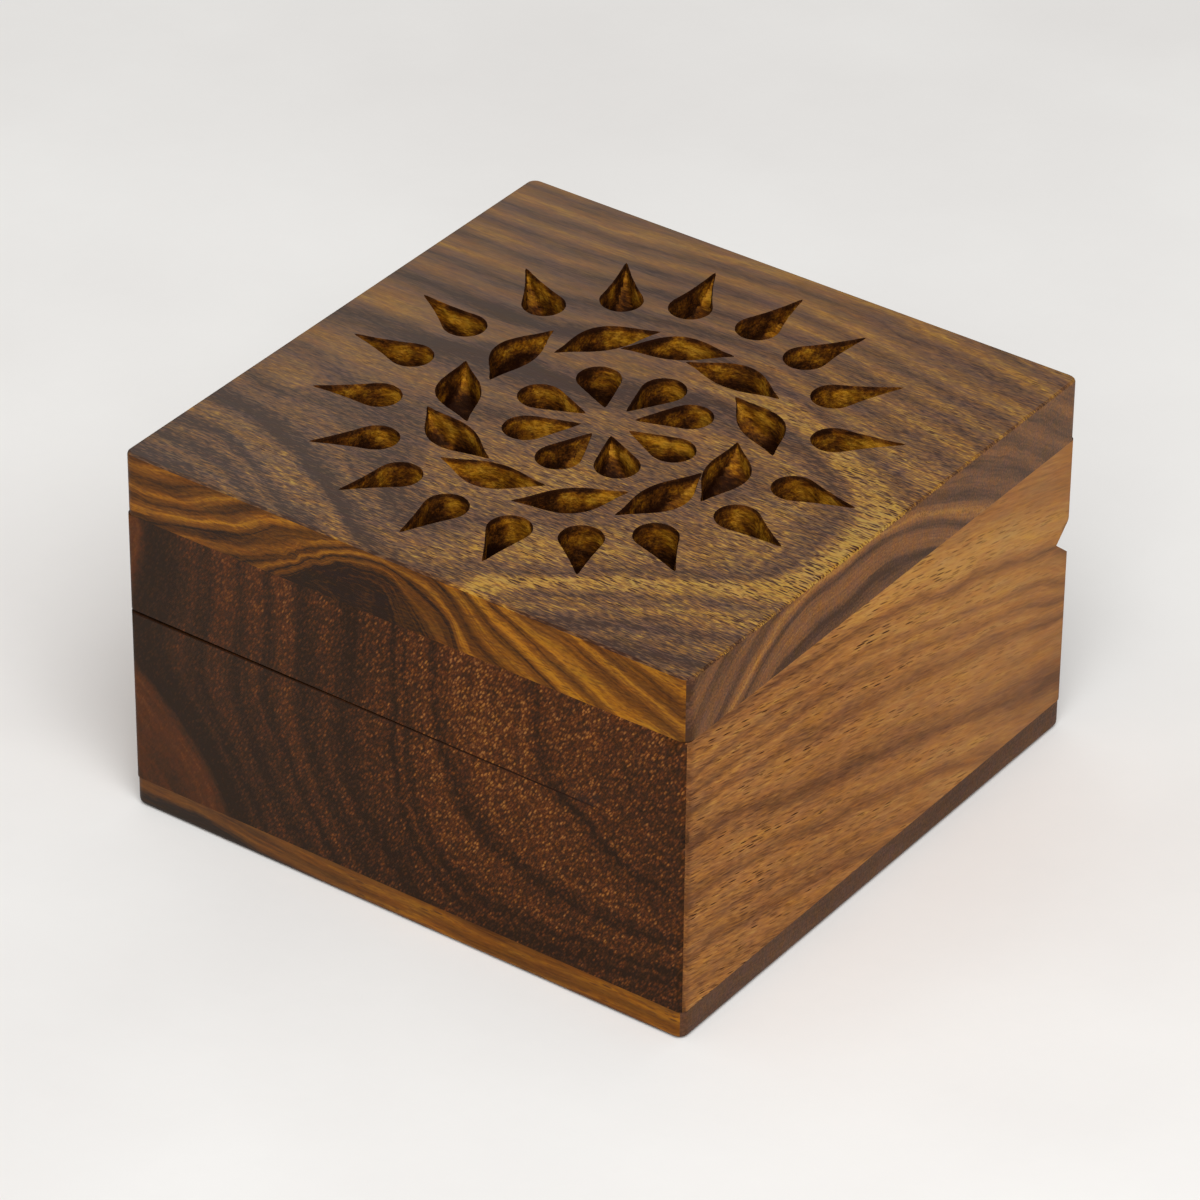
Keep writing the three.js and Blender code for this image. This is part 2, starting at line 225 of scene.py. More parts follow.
TOP_FIGURE = Figure({
    66: ((40, 66), (50, 67.5), (60, 69), (2, 70), (8, 72)),
    62: ((0, 64), (10, 65), (20, 70), (30, 75.5), (66, 58), (66.5, 64), (65.5, 70), (64, 77), (61, 82),
        (54, 86), (81, 54.5)),
    58: ((85, 60), (90, 66), (88, 72), (80, 77), (72, 82), (65, 87), (58, 92), (54, 97), (0, 58), (8, 57.5),
        (0, 76), (10, 77.5), (30, 56), (45, 54), (60, 48), (70, 47)),
    54: ((0, 51), (5, 50), (20, 50), (35, 49), (45, 47), (55, 43), (62, 39), (70, 40.5), (77, 40.5),
        (83, 43), (88, 46), (92, 49.5), (95, 55), (95.5, 62), (96, 69), (94, 74), (90, 77.5), (86, 80),
        (80, 83), (75, 87), (71, 90.5), (66, 94), (60, 96), (57, 102), (0, 80.8), (10, 82), (15, 84),
        (20, 86), (25, 89), (30, 91.5), (33, 94), (38, 97), (45, 101)),
    50: ((0, 43.5), (10, 43.5), (30, 40), (45, 37), (55, 36), (64, 35), (72, 34), (80, 37.5), (88, 42),
        (95, 47), (100, 53), (101, 60), (101, 68), (98, 75), (93, 78.5), (88, 81.5), (84, 84), (78, 88),
        (72, 92), (67, 96), (64.5, 99.5), (64.5, 102), (0, 85), (10, 86), (20, 89), (28, 93), (35, 97),
        (41, 102)),
    46: ((0, 37), (30, 37), (38, 33), (46, 30), (56, 28.5), (64, 28.5), (72, 30.3), (78, 32.7), (86, 36),
        (92, 38.5), (97, 41), (102, 43.5), (102, 78.5), (95, 82), (87, 87), (78, 92), (70, 97), (67.5, 102),
        (0, 88.7), (10, 89.5), (15, 92), (20, 95), (25, 98), (30, 100.5)),
    43: ((0, 32), (30, 31.5), (40, 28.5), (50, 26.5), (60, 25.3), (68, 27), (75, 29.5), (83, 31.5),
        (90, 34.5), (96, 36.5), (102, 38.5), (102, 83.5), (96, 86), (90, 88.5), (85, 91.5), (80, 94.5),
        (75, 98), (70, 102), (0, 91.5), (10, 91.7), (15, 93.3), (20, 96), (25, 99.3)),
    40.5: ((0, 28.5), (20, 28.5), (35, 25.5), (50, 23), (60, 22.3), (68, 23.5), (75, 26), (82, 26.5),
        (88, 28.5), (94, 30), (102, 33), (102, 89.5), (95, 92.3), (88, 95.3), (82, 98.3), (77, 102),
        (0, 94.5), (10, 95), (20, 99), (25, 102)),
    38: ((0, 25.5), (20, 25), (35, 22), (50, 20.3), (60, 19.8), (70, 21), (80, 23.5), (90, 26), (102, 29),
        (102, 92.3), (96, 94.7), (90, 96.8), (84, 99.8), (0, 96.5), (10, 97.5)),
    35: ((0, 21.5), (20, 21), (35, 18.5), (50, 17), (60, 17), (68, 17.7), (74, 19), (82, 20.7), (92, 22.3),
        (97, 23.7), (102, 25), (102, 96.5), (95, 99), (88, 101.5), (0, 100), (10, 101)),
    32.5: ((0, 18), (20, 17.8), (40, 14.5), (52, 13), (60, 12.8), (66, 13.2), (72, 15), (80, 17.5),
        (88, 19.2), (95, 20.3), (102, 21.5), (98, 101)),
    30: ((0, 15), (20, 14.7), (40, 12), (52, 10.5), (62, 11), (68, 11.6), (74, 13), (80, 14.3), (87, 15.2),
        (92, 16.4), (97, 17.4), (102, 18.6)),
    27.5: ((0, 12), (20, 11.5), (40, 8.5), (52, 7.3), (60, 7.7), (66, 8.5), (73, 10.2), (81, 12.3),
        (88, 13.3), (95, 14.2), (102, 15.5)),
    25: ((0, 9.3), (20, 8.8), (40, 5.5), (52, 4.3), (62, 4.5), (70, 5), (80, 6.2), (88, 7.6), (95, 9),
        (102, 10.5)),
    22: ((0, 6.5), (20, 5.8), (40, 2.5), (60, 0.5), (75, 2), (85, 3.5), (95, 5), (102, 6.5)),
    19: ((0, 3), (20, 2), (45, -2), (75, -2), (88, 1), (95, 2.8), (102, 4)),
    16: ((0, 0), (20, -1), (50, -5), (80, -4), (95, 0), (102, 1.5)),
})

EDGE_FIGURE = Figure({
    0: ((37, 9), (43, 7), (47, 6), (47, 10), (41, 10.5)),
    4: ((30, 10), (33, 8), (36, 6), (39, 4.2), (42, 3.2), (46, 2.6), (50, 3), (53, 6.5), (55, 8.5),
        (56, 10)),
    6: ((52, 4), (55, 5.5), (57, 7.5), (58.5, 9), (59, 10.3)),
    8: ((36, 5), (39, 3.2), (44, 1.9), (50, 1.8), (55, 3.5), (58, 5), (60, 6.5), (61, 8.5), (61.2, 10)),
    10: ((37, 4.2), (41, 2.3), (45, 1.3), (50, 0.9), (53, 1.2), (56, 2), (58, 3.2), (60, 5), (61.3, 7),
        (62.2, 9), (62.8, 10.3), (27, 9.8), (32, 7.3)),
    12: ((24, 9.8), (29, 7.8), (33, 5.3), (37, 2.9), (41, 1), (44, 0), (57, 0), (60, 2), (63, 5), (65, 7.5),
        (67.5, 9.5), (69, 10.6)),
    14: ((18, 10), (23, 9), (27, 6.6), (30, 6), (33, 3.7), (35, 2.9), (38, 1.5), (41, 0.2), (60, 0.3),
        (64, 3.6), (67, 6.6), (70, 8.4), (73, 10.3)),
    16: ((8, 9.7), (14, 8.6), (20, 6.9), (24, 5.6), (28, 2.5), (31, 1.7), (35, 0.9), (62, 0), (65, 2.5),
        (68, 5), (72, 7), (75, 8.5), (78, 10.2)),
    18: ((0, 9), (5, 8.7), (10, 7.7), (15, 6.5), (20, 5.4), (24, 3.4), (27, 1.5), (30, 0.7), (33, 0),
        (64, 0), (67, 2.2), (70, 3.7), (73, 5.5), (76, 7.5), (79, 9.3), (82, 10.4)),
    20: ((2, 6.7), (10, 6), (17, 3.4), (22, 1.4), (25, 0.3), (67, 0), (70, 1.8), (73, 3), (76, 4.5),
        (80, 6.5), (84, 8.8), (87, 10.5)),
    22: ((3, 5.5), (10, 5), (15, 3), (19, 1), (21, 0), (69, 0), (73, 1.8), (76, 3.3), (80, 4.3), (83, 5.5),
        (85, 7), (88, 8.5), (91, 10.3)),
    24: ((0, 3.5), (8, 3), (14, 1), (17, 0), (77, 0.5), (80, 1), (83, 2), (87, 3.7), (90, 5.2), (95, 7.3),
        (100, 9.6)),
    26: ((0, 1.5), (6, 1), (9, 0), (81, 0), (84, 1.3), (88, 2.9), (92, 4.4), (96, 6), (101, 8)),
    28: ((87, 0), (93, 2.5), (98, 4.5), (102, 5.8)),
    30: ((94, 0.5), (98, 2), (102, 3.3)),
}, stiffness=0.8)

END_FIGURE = Figure({
    0: ((35, 10.7), (44, 10), (52, 10.3)),
    2: ((22, 10.4), (25, 9.5), (30, 8.6), (36, 8.3), (42, 7.9), (47, 7), (52, 7.4), (57, 8.6), (62, 10.2)),
    5: ((20, 8.4), (26, 5.8), (32, 4.6), (40, 4.6), (48, 4.4), (54, 5.2), (60, 7.2), (66, 9.9)),
    8: ((14, 10.4), (20, 5.9), (25, 3.3), (30, 2.1), (36, 2.2), (42, 1.8), (50, 2.2), (55, 3.2), (60, 4.9),
        (65, 7.1), (70, 10)),
    10: ((11, 10), (14, 8), (20, 4), (26, 1.5), (30, 0.7), (40, 0.5), (50, 0.7), (55, 1.7), (60, 3.2),
        (65, 5.2), (70, 7.6), (75, 10)),
    12: ((9.5, 8.8), (14, 5), (19, 1.6), (23, 0), (59, 0), (64, 2.3), (70, 4.6), (75, 7.2), (80, 10)),
    14: ((6, 9), (9, 5.5), (14, 2), (17, 0), (64, 0), (70, 2.4), (76, 5.4), (81, 8.3), (84, 10.4)),
    16: ((3, 7), (7, 3), (11, 0), (71, 0), (76, 2.4), (80, 4.7), (85, 8), (88, 10.5)),
    18: ((0, 7), (4, 2.5), (7, 0), (76, 0), (84, 4), (88, 7), (92, 10.5)),
    20: ((80, 0), (86, 4), (90, 7.4), (94, 10.7), (0, 2.5)),
    22: ((85, 0.3), (92, 5.5), (97, 9.5)),
    24: ((88, 0.2), (95, 5), (100, 8.5)),
    26: ((94, 0.9), (100, 5.5)),
}, stiffness=0.2)

BLOCK_FRONT_FIGURE = Figure({
    -2: ((95, 14), (90, 24), (98, 30)),
    2: ((75, 10), (75.6, 18), (76, 22), (77, 26), (79, 28), (85, 31.5), (90, 35.5), (97, 37.5),
        (102, 38.5)),
    4: ((66, 10), (66, 22), (68, 30), (73, 36.5), (82, 40.5), (92, 42.5), (102, 42.5)),
    6: ((57, 10), (57, 20), (58, 27), (60, 32), (63, 38), (68, 42), (75, 45), (85, 46.8), (102, 46.5)),
    8: ((54, 10), (54, 25), (55, 35), (58, 43), (63, 48), (72, 50.2), (85, 50), (102, 49)),
    9: ((52, 35), (54.5, 44), (60, 50.5), (70, 53.6), (80, 53.5), (90, 52.8), (102, 51)),
    10: ((50.5, 10), (50.5, 25), (51, 40), (54, 48), (60, 54), (68, 56.6), (80, 56), (102, 53.2)),
    12: ((47, 10), (47, 25), (48, 38), (51, 48), (56, 55), (62, 59), (80, 59.5), (102, 56.5)),
    14: ((41.5, 10), (41.5, 20), (40.5, 27), (39.5, 34), (41, 41), (44, 48), (50, 54.5), (55, 59)),
    16: ((37, 10), (37, 27), (36, 34), (38, 42), (42, 49), (48, 57.5)),
    18: ((33, 10), (33, 22), (33, 30), (34, 38), (37, 45), (42, 52), (46, 58)),
    20: ((30, 10), (30, 22), (29.5, 30), (31, 38), (34, 45), (38, 52), (42, 58)),
    22: ((27, 10), (27, 22), (26, 30), (27, 36), (30, 42), (34, 50), (39, 58)),
    24: ((24, 10), (24, 25), (23, 32), (25, 39), (28, 44), (33, 52), (36, 58)),
    26: ((21.5, 10), (21, 25), (20, 32), (22, 39), (25, 46), (30, 54), (33, 58)),
    28: ((18.5, 10), (18.5, 22), (17, 32), (18.5, 39), (22, 46), (26, 53), (29, 58)),
    30: ((15.5, 10), (15.5, 22), (13.5, 31), (14.5, 37), (18, 44), (22, 51), (25.5, 58)),
    32: ((11.5, 10), (11.5, 22), (9, 31), (10.5, 37.5), (15, 43.5), (19.5, 50.5), (23.5, 58)),
    34: ((7, 10), (6.5, 20), (4, 28), (4, 34), (8, 39), (12.5, 44), (17, 50), (21, 57.5)),
    36: ((3, 10), (2, 20), (0, 30), (0, 36.5), (5, 40.5), (10, 45), (15, 50.5), (18.5, 58)),
    38: ((0, 12), (0, 41), (5, 45), (10, 49.5), (14, 54.5), (15, 58)),
    40: ((0, 48.5), (3, 52), (7, 56), (9, 58)),
    42: ((0, 54.5), (3, 58)),
}, stiffness=0.4)

BLOCK_RIGHT_FIGURE = Figure({
    2: ((90, 10.5), (102, 14)),
    6: ((68, 10.8), (85, 14.3), (102, 19.5)),
    10: ((30, 10.7), (42, 11.5), (55, 12.7), (65, 14.7), (75, 16.7), (85, 19.3), (95, 23.2), (102, 26)),
    12: ((10, 11), (27, 12.3), (40, 14), (50, 15.7), (56, 17), (64, 20), (70, 21.5), (80, 23.5), (90, 26.5),
        (102, 31)),
    14: ((0, 13), (15, 14.5), (30, 15.7), (45, 17.4), (55, 20), (65, 23), (80, 27), (102, 34.5)),
    16: ((0, 17.5), (10, 16.8), (17, 17), (30, 17.8), (45, 19), (52, 21), (65, 25), (80, 29.5), (102, 37)),
    19: ((0, 20), (15, 20.4), (30, 20.6), (40, 22), (47, 23.6), (55, 25.3), (61, 26.3), (68, 28.4),
        (80, 32), (102, 39.5)),
    22: ((0, 22.5), (12, 23.3), (25, 25.3), (35, 27.6), (45, 29), (55, 30.5), (62, 32), (75, 35.5),
        (90, 39), (102, 42.5)),
    24: ((0, 26), (15, 26.7), (25, 29), (40, 32), (60, 36), (80, 41), (102, 46.5)),
    26: ((0, 28.5), (12, 29), (20, 32.3), (25, 34.6), (30, 35.6), (40, 38), (50, 40.3), (60, 42.3),
        (68, 45), (75, 47.3), (85, 50), (95, 52.7), (102, 54.5)),
    28: ((0, 33), (10, 34.6), (20, 37), (30, 39.7), (45, 43), (60, 47.3), (75, 51.6), (90, 57)),
    30: ((0, 39.5), (15, 40), (23, 41), (30, 43), (40, 46), (50, 48.3), (58, 50), (70, 53.5), (80, 57)),
    32: ((0, 42.3), (15, 43), (30, 47), (50, 51.3), (70, 57)),
    34: ((0, 44.6), (8, 44.8), (16, 46.2), (30, 49.3), (45, 52), (58, 56)),
    36: ((0, 48.5), (15, 49.3), (28, 51.5), (45, 55), (52, 57.5)),
    38: ((0, 51.3), (20, 53.7), (40, 57)),
    40: ((0, 54), (10, 55), (20, 57), (26, 58.5)),
    42: ((0, 57.3), (10, 58.5)),
}, stiffness=0.4)

BOTTOM_FIGURE = Figure({
    0: ((0, 63), (10, 62.5), (20, 63)),
    4: ((0, 60), (12, 60), (24, 62), (40, 63), (60, 63.5), (80, 63.5), (102, 63.5)),
    8: ((0, 58.5), (14, 58.5), (26, 60), (40, 61.3), (55, 60.8), (70, 61.8), (85, 61), (102, 61.5)),
    12: ((20, 57.5), (30, 58.5), (42, 59.3), (52, 59.3), (62, 59.8), (80, 59.4), (102, 59.5)),
    16: ((30, 57), (50, 57.5), (75, 57.6), (102, 57.5)),
})

TOP_GLOW = Figure({
    0.2: ((101, 65), (65, 100), (101, 56), (97, 77)),
    0.12: ((84, 84), (73, 91), (62, 84), (66, 61)),
    0.04: ((95, 47), (90, 28), (71, 77), (54, 92), (85, 40)),
    0.0: ((80, 25), (10, 70), (80, 65), (85, 72), (3, 55), (60, 20), (10, 10), (50, 12), (90, 10)),
    -0.05: ((75, 36), (20, 22), (45, 66), (10, 30), (30, 62), (40, 80)),
    -0.15: ((3, 43), (62, 34), (20, 95), (90, 95), (75, 99)),
    -0.32: ((20, 42), (35, 39), (50, 35), (5, 86), (15, 88), (25, 91), (33, 96), (38, 101)),
}, stiffness=4.0)

EDGE_GLOW = Figure({
    -0.12: ((0, 2), (0, 9), (12, 5), (22, 8)),
    0.0: ((36, 3), (48, 8), (55, 2)),
    0.05: ((68, 5), (80, 2), (90, 7), (101, 5)),
}, stiffness=4.0)

BOTTOM_GLOW = Figure({
    -0.12: ((0, 59), (0, 63), (10, 60)),
    -0.1: ((24, 59), (22, 63)),
    0.0: ((42, 59), (40, 63), (70, 61), (101, 59), (101, 63)),
}, stiffness=4.0)

BLOCK_FRONT_GLOW = Figure({
    0.14: ((62, 17), (66, 24)),
    0.06: ((55, 30), (5, 16), (20, 16)),
    0.03: ((72, 37), (70, 44)),
    0.0: ((30, 20), (3, 46), (60, 44), (90, 20), (97, 15), (82, 40), (5, 54)),
    -0.06: ((40, 20), (45, 33), (30, 33), (12, 33), (98, 44), (95, 28)),
    -0.12: ((40, 45), (22, 45), (30, 50), (75, 54), (95, 53)),
}, stiffness=10.0)

BLOCK_RIGHT_GLOW = Figure({
    0.12: ((50, 12.5), (88, 20), (75, 50)),
    0.03: ((15, 20), (60, 40), (95, 38)),
    -0.05: ((8, 35), (5, 55), (30, 45), (95, 56)),
    -0.12: ((33, 12.5), (1, 25)),
}, stiffness=30.0)


class Bench:
    """Lays out the nodes of one material, so that a finish reads as a short recipe."""

    # How far red, green and blue swing, each with the yellow pattern and with the red one.
    HUE_SWINGS = ((0.3, 0.3), (0.0, -0.15), (-1.8, 0.0))

    def __init__(self, name: str) -> None:
        """Starts a material with its surface shader and nothing else.

        Args:
            name: the material's name.
        """
        self.material = bpy.data.materials.new(name)
        self.material.use_nodes = True
        self.nodes = self.material.node_tree.nodes
        self.links = self.material.node_tree.links
        self.nodes.clear()
        self.surface = self.nodes.new("ShaderNodeBsdfPrincipled")
        output = self.nodes.new("ShaderNodeOutputMaterial")
        self.links.new(self.surface.outputs[0], output.inputs[0])
        self.place = self.nodes.new("ShaderNodeTexCoord").outputs["Object"]

    def feed(self, socket: Socket, value: object) -> None:
        """Links a socket to another one, or sets the number or colour that it holds.

        Args:
            socket: the input to fill.
            value: an output socket, a number or a tuple.
        """
        if isinstance(value, Socket):
            self.links.new(value, socket)
        else:
            socket.default_value = value

    def work(self, operation: str, first: object, second: object = 0.0,
             third: object = 0.0) -> Socket:
        """Adds a sum.

        Args:
            operation: the kind of sum, as Blender names it.
            first: the first number or socket.
            second: the second number or socket.
            third: the third one, for the sums that have it.

        Returns:
            The result's socket.
        """
        node = self.nodes.new("ShaderNodeMath")
        node.operation = operation
        for socket, value in zip(node.inputs, (first, second, third)):
            self.feed(socket, value)
        return node.outputs[0]

    def add(self, first: object, second: object) -> Socket:
        """Returns the sum of two numbers."""
        return self.work("ADD", first, second)

    def times(self, first: object, second: object) -> Socket:
        """Returns the product of two numbers."""
        return self.work("MULTIPLY", first, second)

    def grid(self, sizes: Sequence[float], turn: Sequence[float] = (0, 0, 0),
             shift: float = 0.0) -> Socket:
        """Stretches and turns the object's coordinates for a pattern.

        Args:
            sizes: the length in millimetres that counts as one along each turned axis.
            turn: the turn about each axis, in degrees.
            shift: a step along every axis in millimetres, so that two patterns differ.

        Returns:
            The coordinates' socket.
        """
        node = self.nodes.new("ShaderNodeMapping")
        node.vector_type = "TEXTURE"
        self.feed(node.inputs["Vector"], self.place)
        node.inputs["Location"].default_value = [shift * MM] * 3
        node.inputs["Rotation"].default_value = [math.radians(a) for a in turn]
        node.inputs["Scale"].default_value = [s * MM for s in sizes]
        return node.outputs[0]

    def noise(self, coordinates: Socket, detail: float = 2.0,
              roughness: float = 0.5) -> Socket:
        """Adds soft noise and returns its value from 0 to 1."""
        node = self.nodes.new("ShaderNodeTexNoise")
        self.feed(node.inputs["Vector"], coordinates)
        node.inputs["Scale"].default_value = 1.0
        node.inputs["Detail"].default_value = detail
        node.inputs["Roughness"].default_value = roughness
        return node.outputs[0]

    def axis(self, index: int, sign: int = 1) -> Socket:
        """Returns one of the object's coordinates in millimetres, counted along or against its axis."""
        node = self.nodes.new("ShaderNodeSeparateXYZ")
        self.links.new(self.place, node.inputs[0])
        return self.times(node.outputs[index], sign / MM)

    def swing(self, value: object, amount: float) -> Socket:
        """Returns noise from 0 to 1 as a swing about zero, as wide as the amount."""
        return self.work("MULTIPLY_ADD", value, amount, -amount / 2)

    def rise(self, value: object, low: float, high: float, start: float = 0.0,
             end: float = 1.0) -> Socket:
        """Adds a smooth step.

        Args:
            value: what it reads.
            low: where the step begins.
            high: where it ends.
            start: the result below the step.
            end: the result above it.

        Returns:
            The result's socket.
        """
        node = self.nodes.new("ShaderNodeMapRange")
        node.interpolation_type = "SMOOTHSTEP"
        for name, number in (("From Min", low), ("From Max", high), ("To Min", start), ("To Max", end)):
            node.inputs[name].default_value = number
        self.feed(node.inputs["Value"], value)
        return node.outputs[0]

    def marks(self, coordinates: Socket, core: float, edge: float,
              share: float) -> Socket:
        """Scatters small marks, one in each kept cell.

        Args:
            coordinates: the stretched coordinates, one cell to a unit.
            core: the radius at which a mark is still full, as a share of a cell.
            edge: the radius at which it has faded out.
            share: the share of the cells that have a mark.

        Returns:
            The marks' strength, from 0 to 1.
        """
        node = self.nodes.new("ShaderNodeTexVoronoi")
        self.feed(node.inputs["Vector"], coordinates)
        node.inputs["Scale"].default_value = 1.0
        split = self.nodes.new("ShaderNodeSeparateColor")
        self.links.new(node.outputs["Color"], split.inputs[0])
        kept = self.work("LESS_THAN", split.outputs[0], share)
        spot = self.rise(node.outputs["Distance"], core, edge, 1.0, 0.0)
        depth = self.work("MULTIPLY_ADD", split.outputs[1], 0.4, 0.6)
        return self.times(self.times(kept, spot), depth)

    def cells(self, coordinates: Socket) -> Socket:
        """Returns a net of cells, dark along their borders and rising to a strength of its own in each."""
        node = self.nodes.new("ShaderNodeTexVoronoi")
        self.feed(node.inputs["Vector"], coordinates)
        node.inputs["Scale"].default_value = 1.0
        split = self.nodes.new("ShaderNodeSeparateColor")
        self.links.new(node.outputs["Color"], split.inputs[0])
        middle = self.rise(node.outputs["Distance"], 0.2, 0.8, 1.0, 0.0)
        return self.times(middle, self.work("MULTIPLY_ADD", split.outputs[0], 1.4, 0.5))

    def ramp(self, value: object, places: Sequence[float],
             colours: Sequence[Sequence[float]]) -> Socket:
        """Turns a number into colours.

        Args:
            value: the number.
            places: where each colour stands, in rising order.
            colours: the colours, red, green, blue and opacity.

        Returns:
            The colour's socket.
        """
        low, high = places[0], places[-1]
        node = self.nodes.new("ShaderNodeValToRGB")
        elements = node.color_ramp.elements
        while len(elements) < len(places):
            elements.new(0.5)
        for element, place, colour in zip(elements, places, colours):
            element.position = (place - low) / (high - low)
            element.color = colour
        self.feed(node.inputs[0], self.work("DIVIDE", self.work("SUBTRACT", value, low), high - low))
        return node.outputs[0]

    def levels(self, age: object, stops: Sequence[Flat]) -> Socket:
        """Returns how light the wood is at an age, by stops of an age and a level."""
        return self.ramp(age, [s[0] for s in stops], [(s[1], s[1], s[1], 1.0) for s in stops])

    def palette(self, level: object, tones: Sequence[tuple[float, Tone]]) -> Socket:
        """Returns the colour of wood that is light to a level, by stops of a level and a tone."""
        return self.ramp(level, [t[0] for t in tones], [t[1].linear() for t in tones])

    def blend(self, amount: object, first: object, second: object) -> Socket:
        """Blends two colours.

        Args:
            amount: how much of the second colour there is.
            first: the first colour or socket.
            second: the second colour or socket.

        Returns:
            The blended colour's socket.
        """
        node = self.nodes.new("ShaderNodeMix")
        node.data_type = "RGBA"
        for index, value in ((0, amount), (6, first), (7, second)):
            self.feed(node.inputs[index], value)
        return node.outputs[2]

    def lighten(self, colour: Socket, factor: object) -> Socket:
        """Returns a colour with its light multiplied by a factor."""
        node = self.nodes.new("ShaderNodeVectorMath")
        node.operation = "SCALE"
        self.links.new(colour, node.inputs[0])
        self.feed(node.inputs["Scale"], factor)
        return node.outputs[0]

    def hued(self, colour: Socket, yellow: object, red: object,
             amount: float) -> Socket:
        """Turns the hue of a colour here and there, and keeps its lightness.

        Args:
            colour: the colour.
            yellow: noise from 0 to 1, high where the wood is yellower and low where it is greyer.
            red: noise from 0 to 1, high where the wood is redder.
            amount: how far the hue turns.

        Returns:
            The turned colour's socket.
        """
        stack = self.nodes.new("ShaderNodeCombineXYZ")
        for socket, (first, second) in zip(stack.inputs, self.HUE_SWINGS):
            turn = self.add(self.swing(yellow, first * amount), self.swing(red, second * amount))
            self.feed(socket, self.add(turn, 1.0))
        node = self.nodes.new("ShaderNodeVectorMath")
        node.operation = "MULTIPLY"
        self.links.new(colour, node.inputs[0])
        self.links.new(stack.outputs[0], node.inputs[1])
        return node.outputs[0]

    def lift(self, coordinates: Socket, height: object) -> Socket:
        """Returns coordinates moved along their third axis, so that a pattern follows that number."""
        stack = self.nodes.new("ShaderNodeCombineXYZ")
        self.feed(stack.inputs[2], height)
        node = self.nodes.new("ShaderNodeVectorMath")
        self.links.new(coordinates, node.inputs[0])
        self.links.new(stack.outputs[0], node.inputs[1])
        return node.outputs[0]

    def attribute(self, name: str) -> Socket:
        """Returns a number that the mesh carries under this name."""
        node = self.nodes.new("ShaderNodeAttribute")
        node.attribute_name = name
        return node.outputs["Fac"]

    def relief(self, height: object, depth: float) -> None:
        """Presses a height pattern into the surface.

        Args:
            height: the pattern, from 0 to 1.
            depth: how deep it goes, in millimetres.
        """
        node = self.nodes.new("ShaderNodeBump")
        node.inputs["Distance"].default_value = depth * MM
        self.feed(node.inputs["Height"], height)
        self.links.new(node.outputs[0], self.surface.inputs["Normal"])


class Grain(Enum):
    """The axis that the fibres of a board or block follow."""

    ALONG_X = 0
    ALONG_Y = 1

    def sizes(self, along: float, across: float) -> tuple[float, float, float]:
        """Returns a pattern's size on each axis, long along the fibres and short across them."""
        return (along, across, across) if self is Grain.ALONG_X else (across, along, across)

    def tilt(self, angle: float) -> tuple[float, float, float]:
        """Returns the turns about each axis that tip the fibres down by an angle in degrees."""
        return (0, angle, 0) if self is Grain.ALONG_X else (-angle, 0, 0)


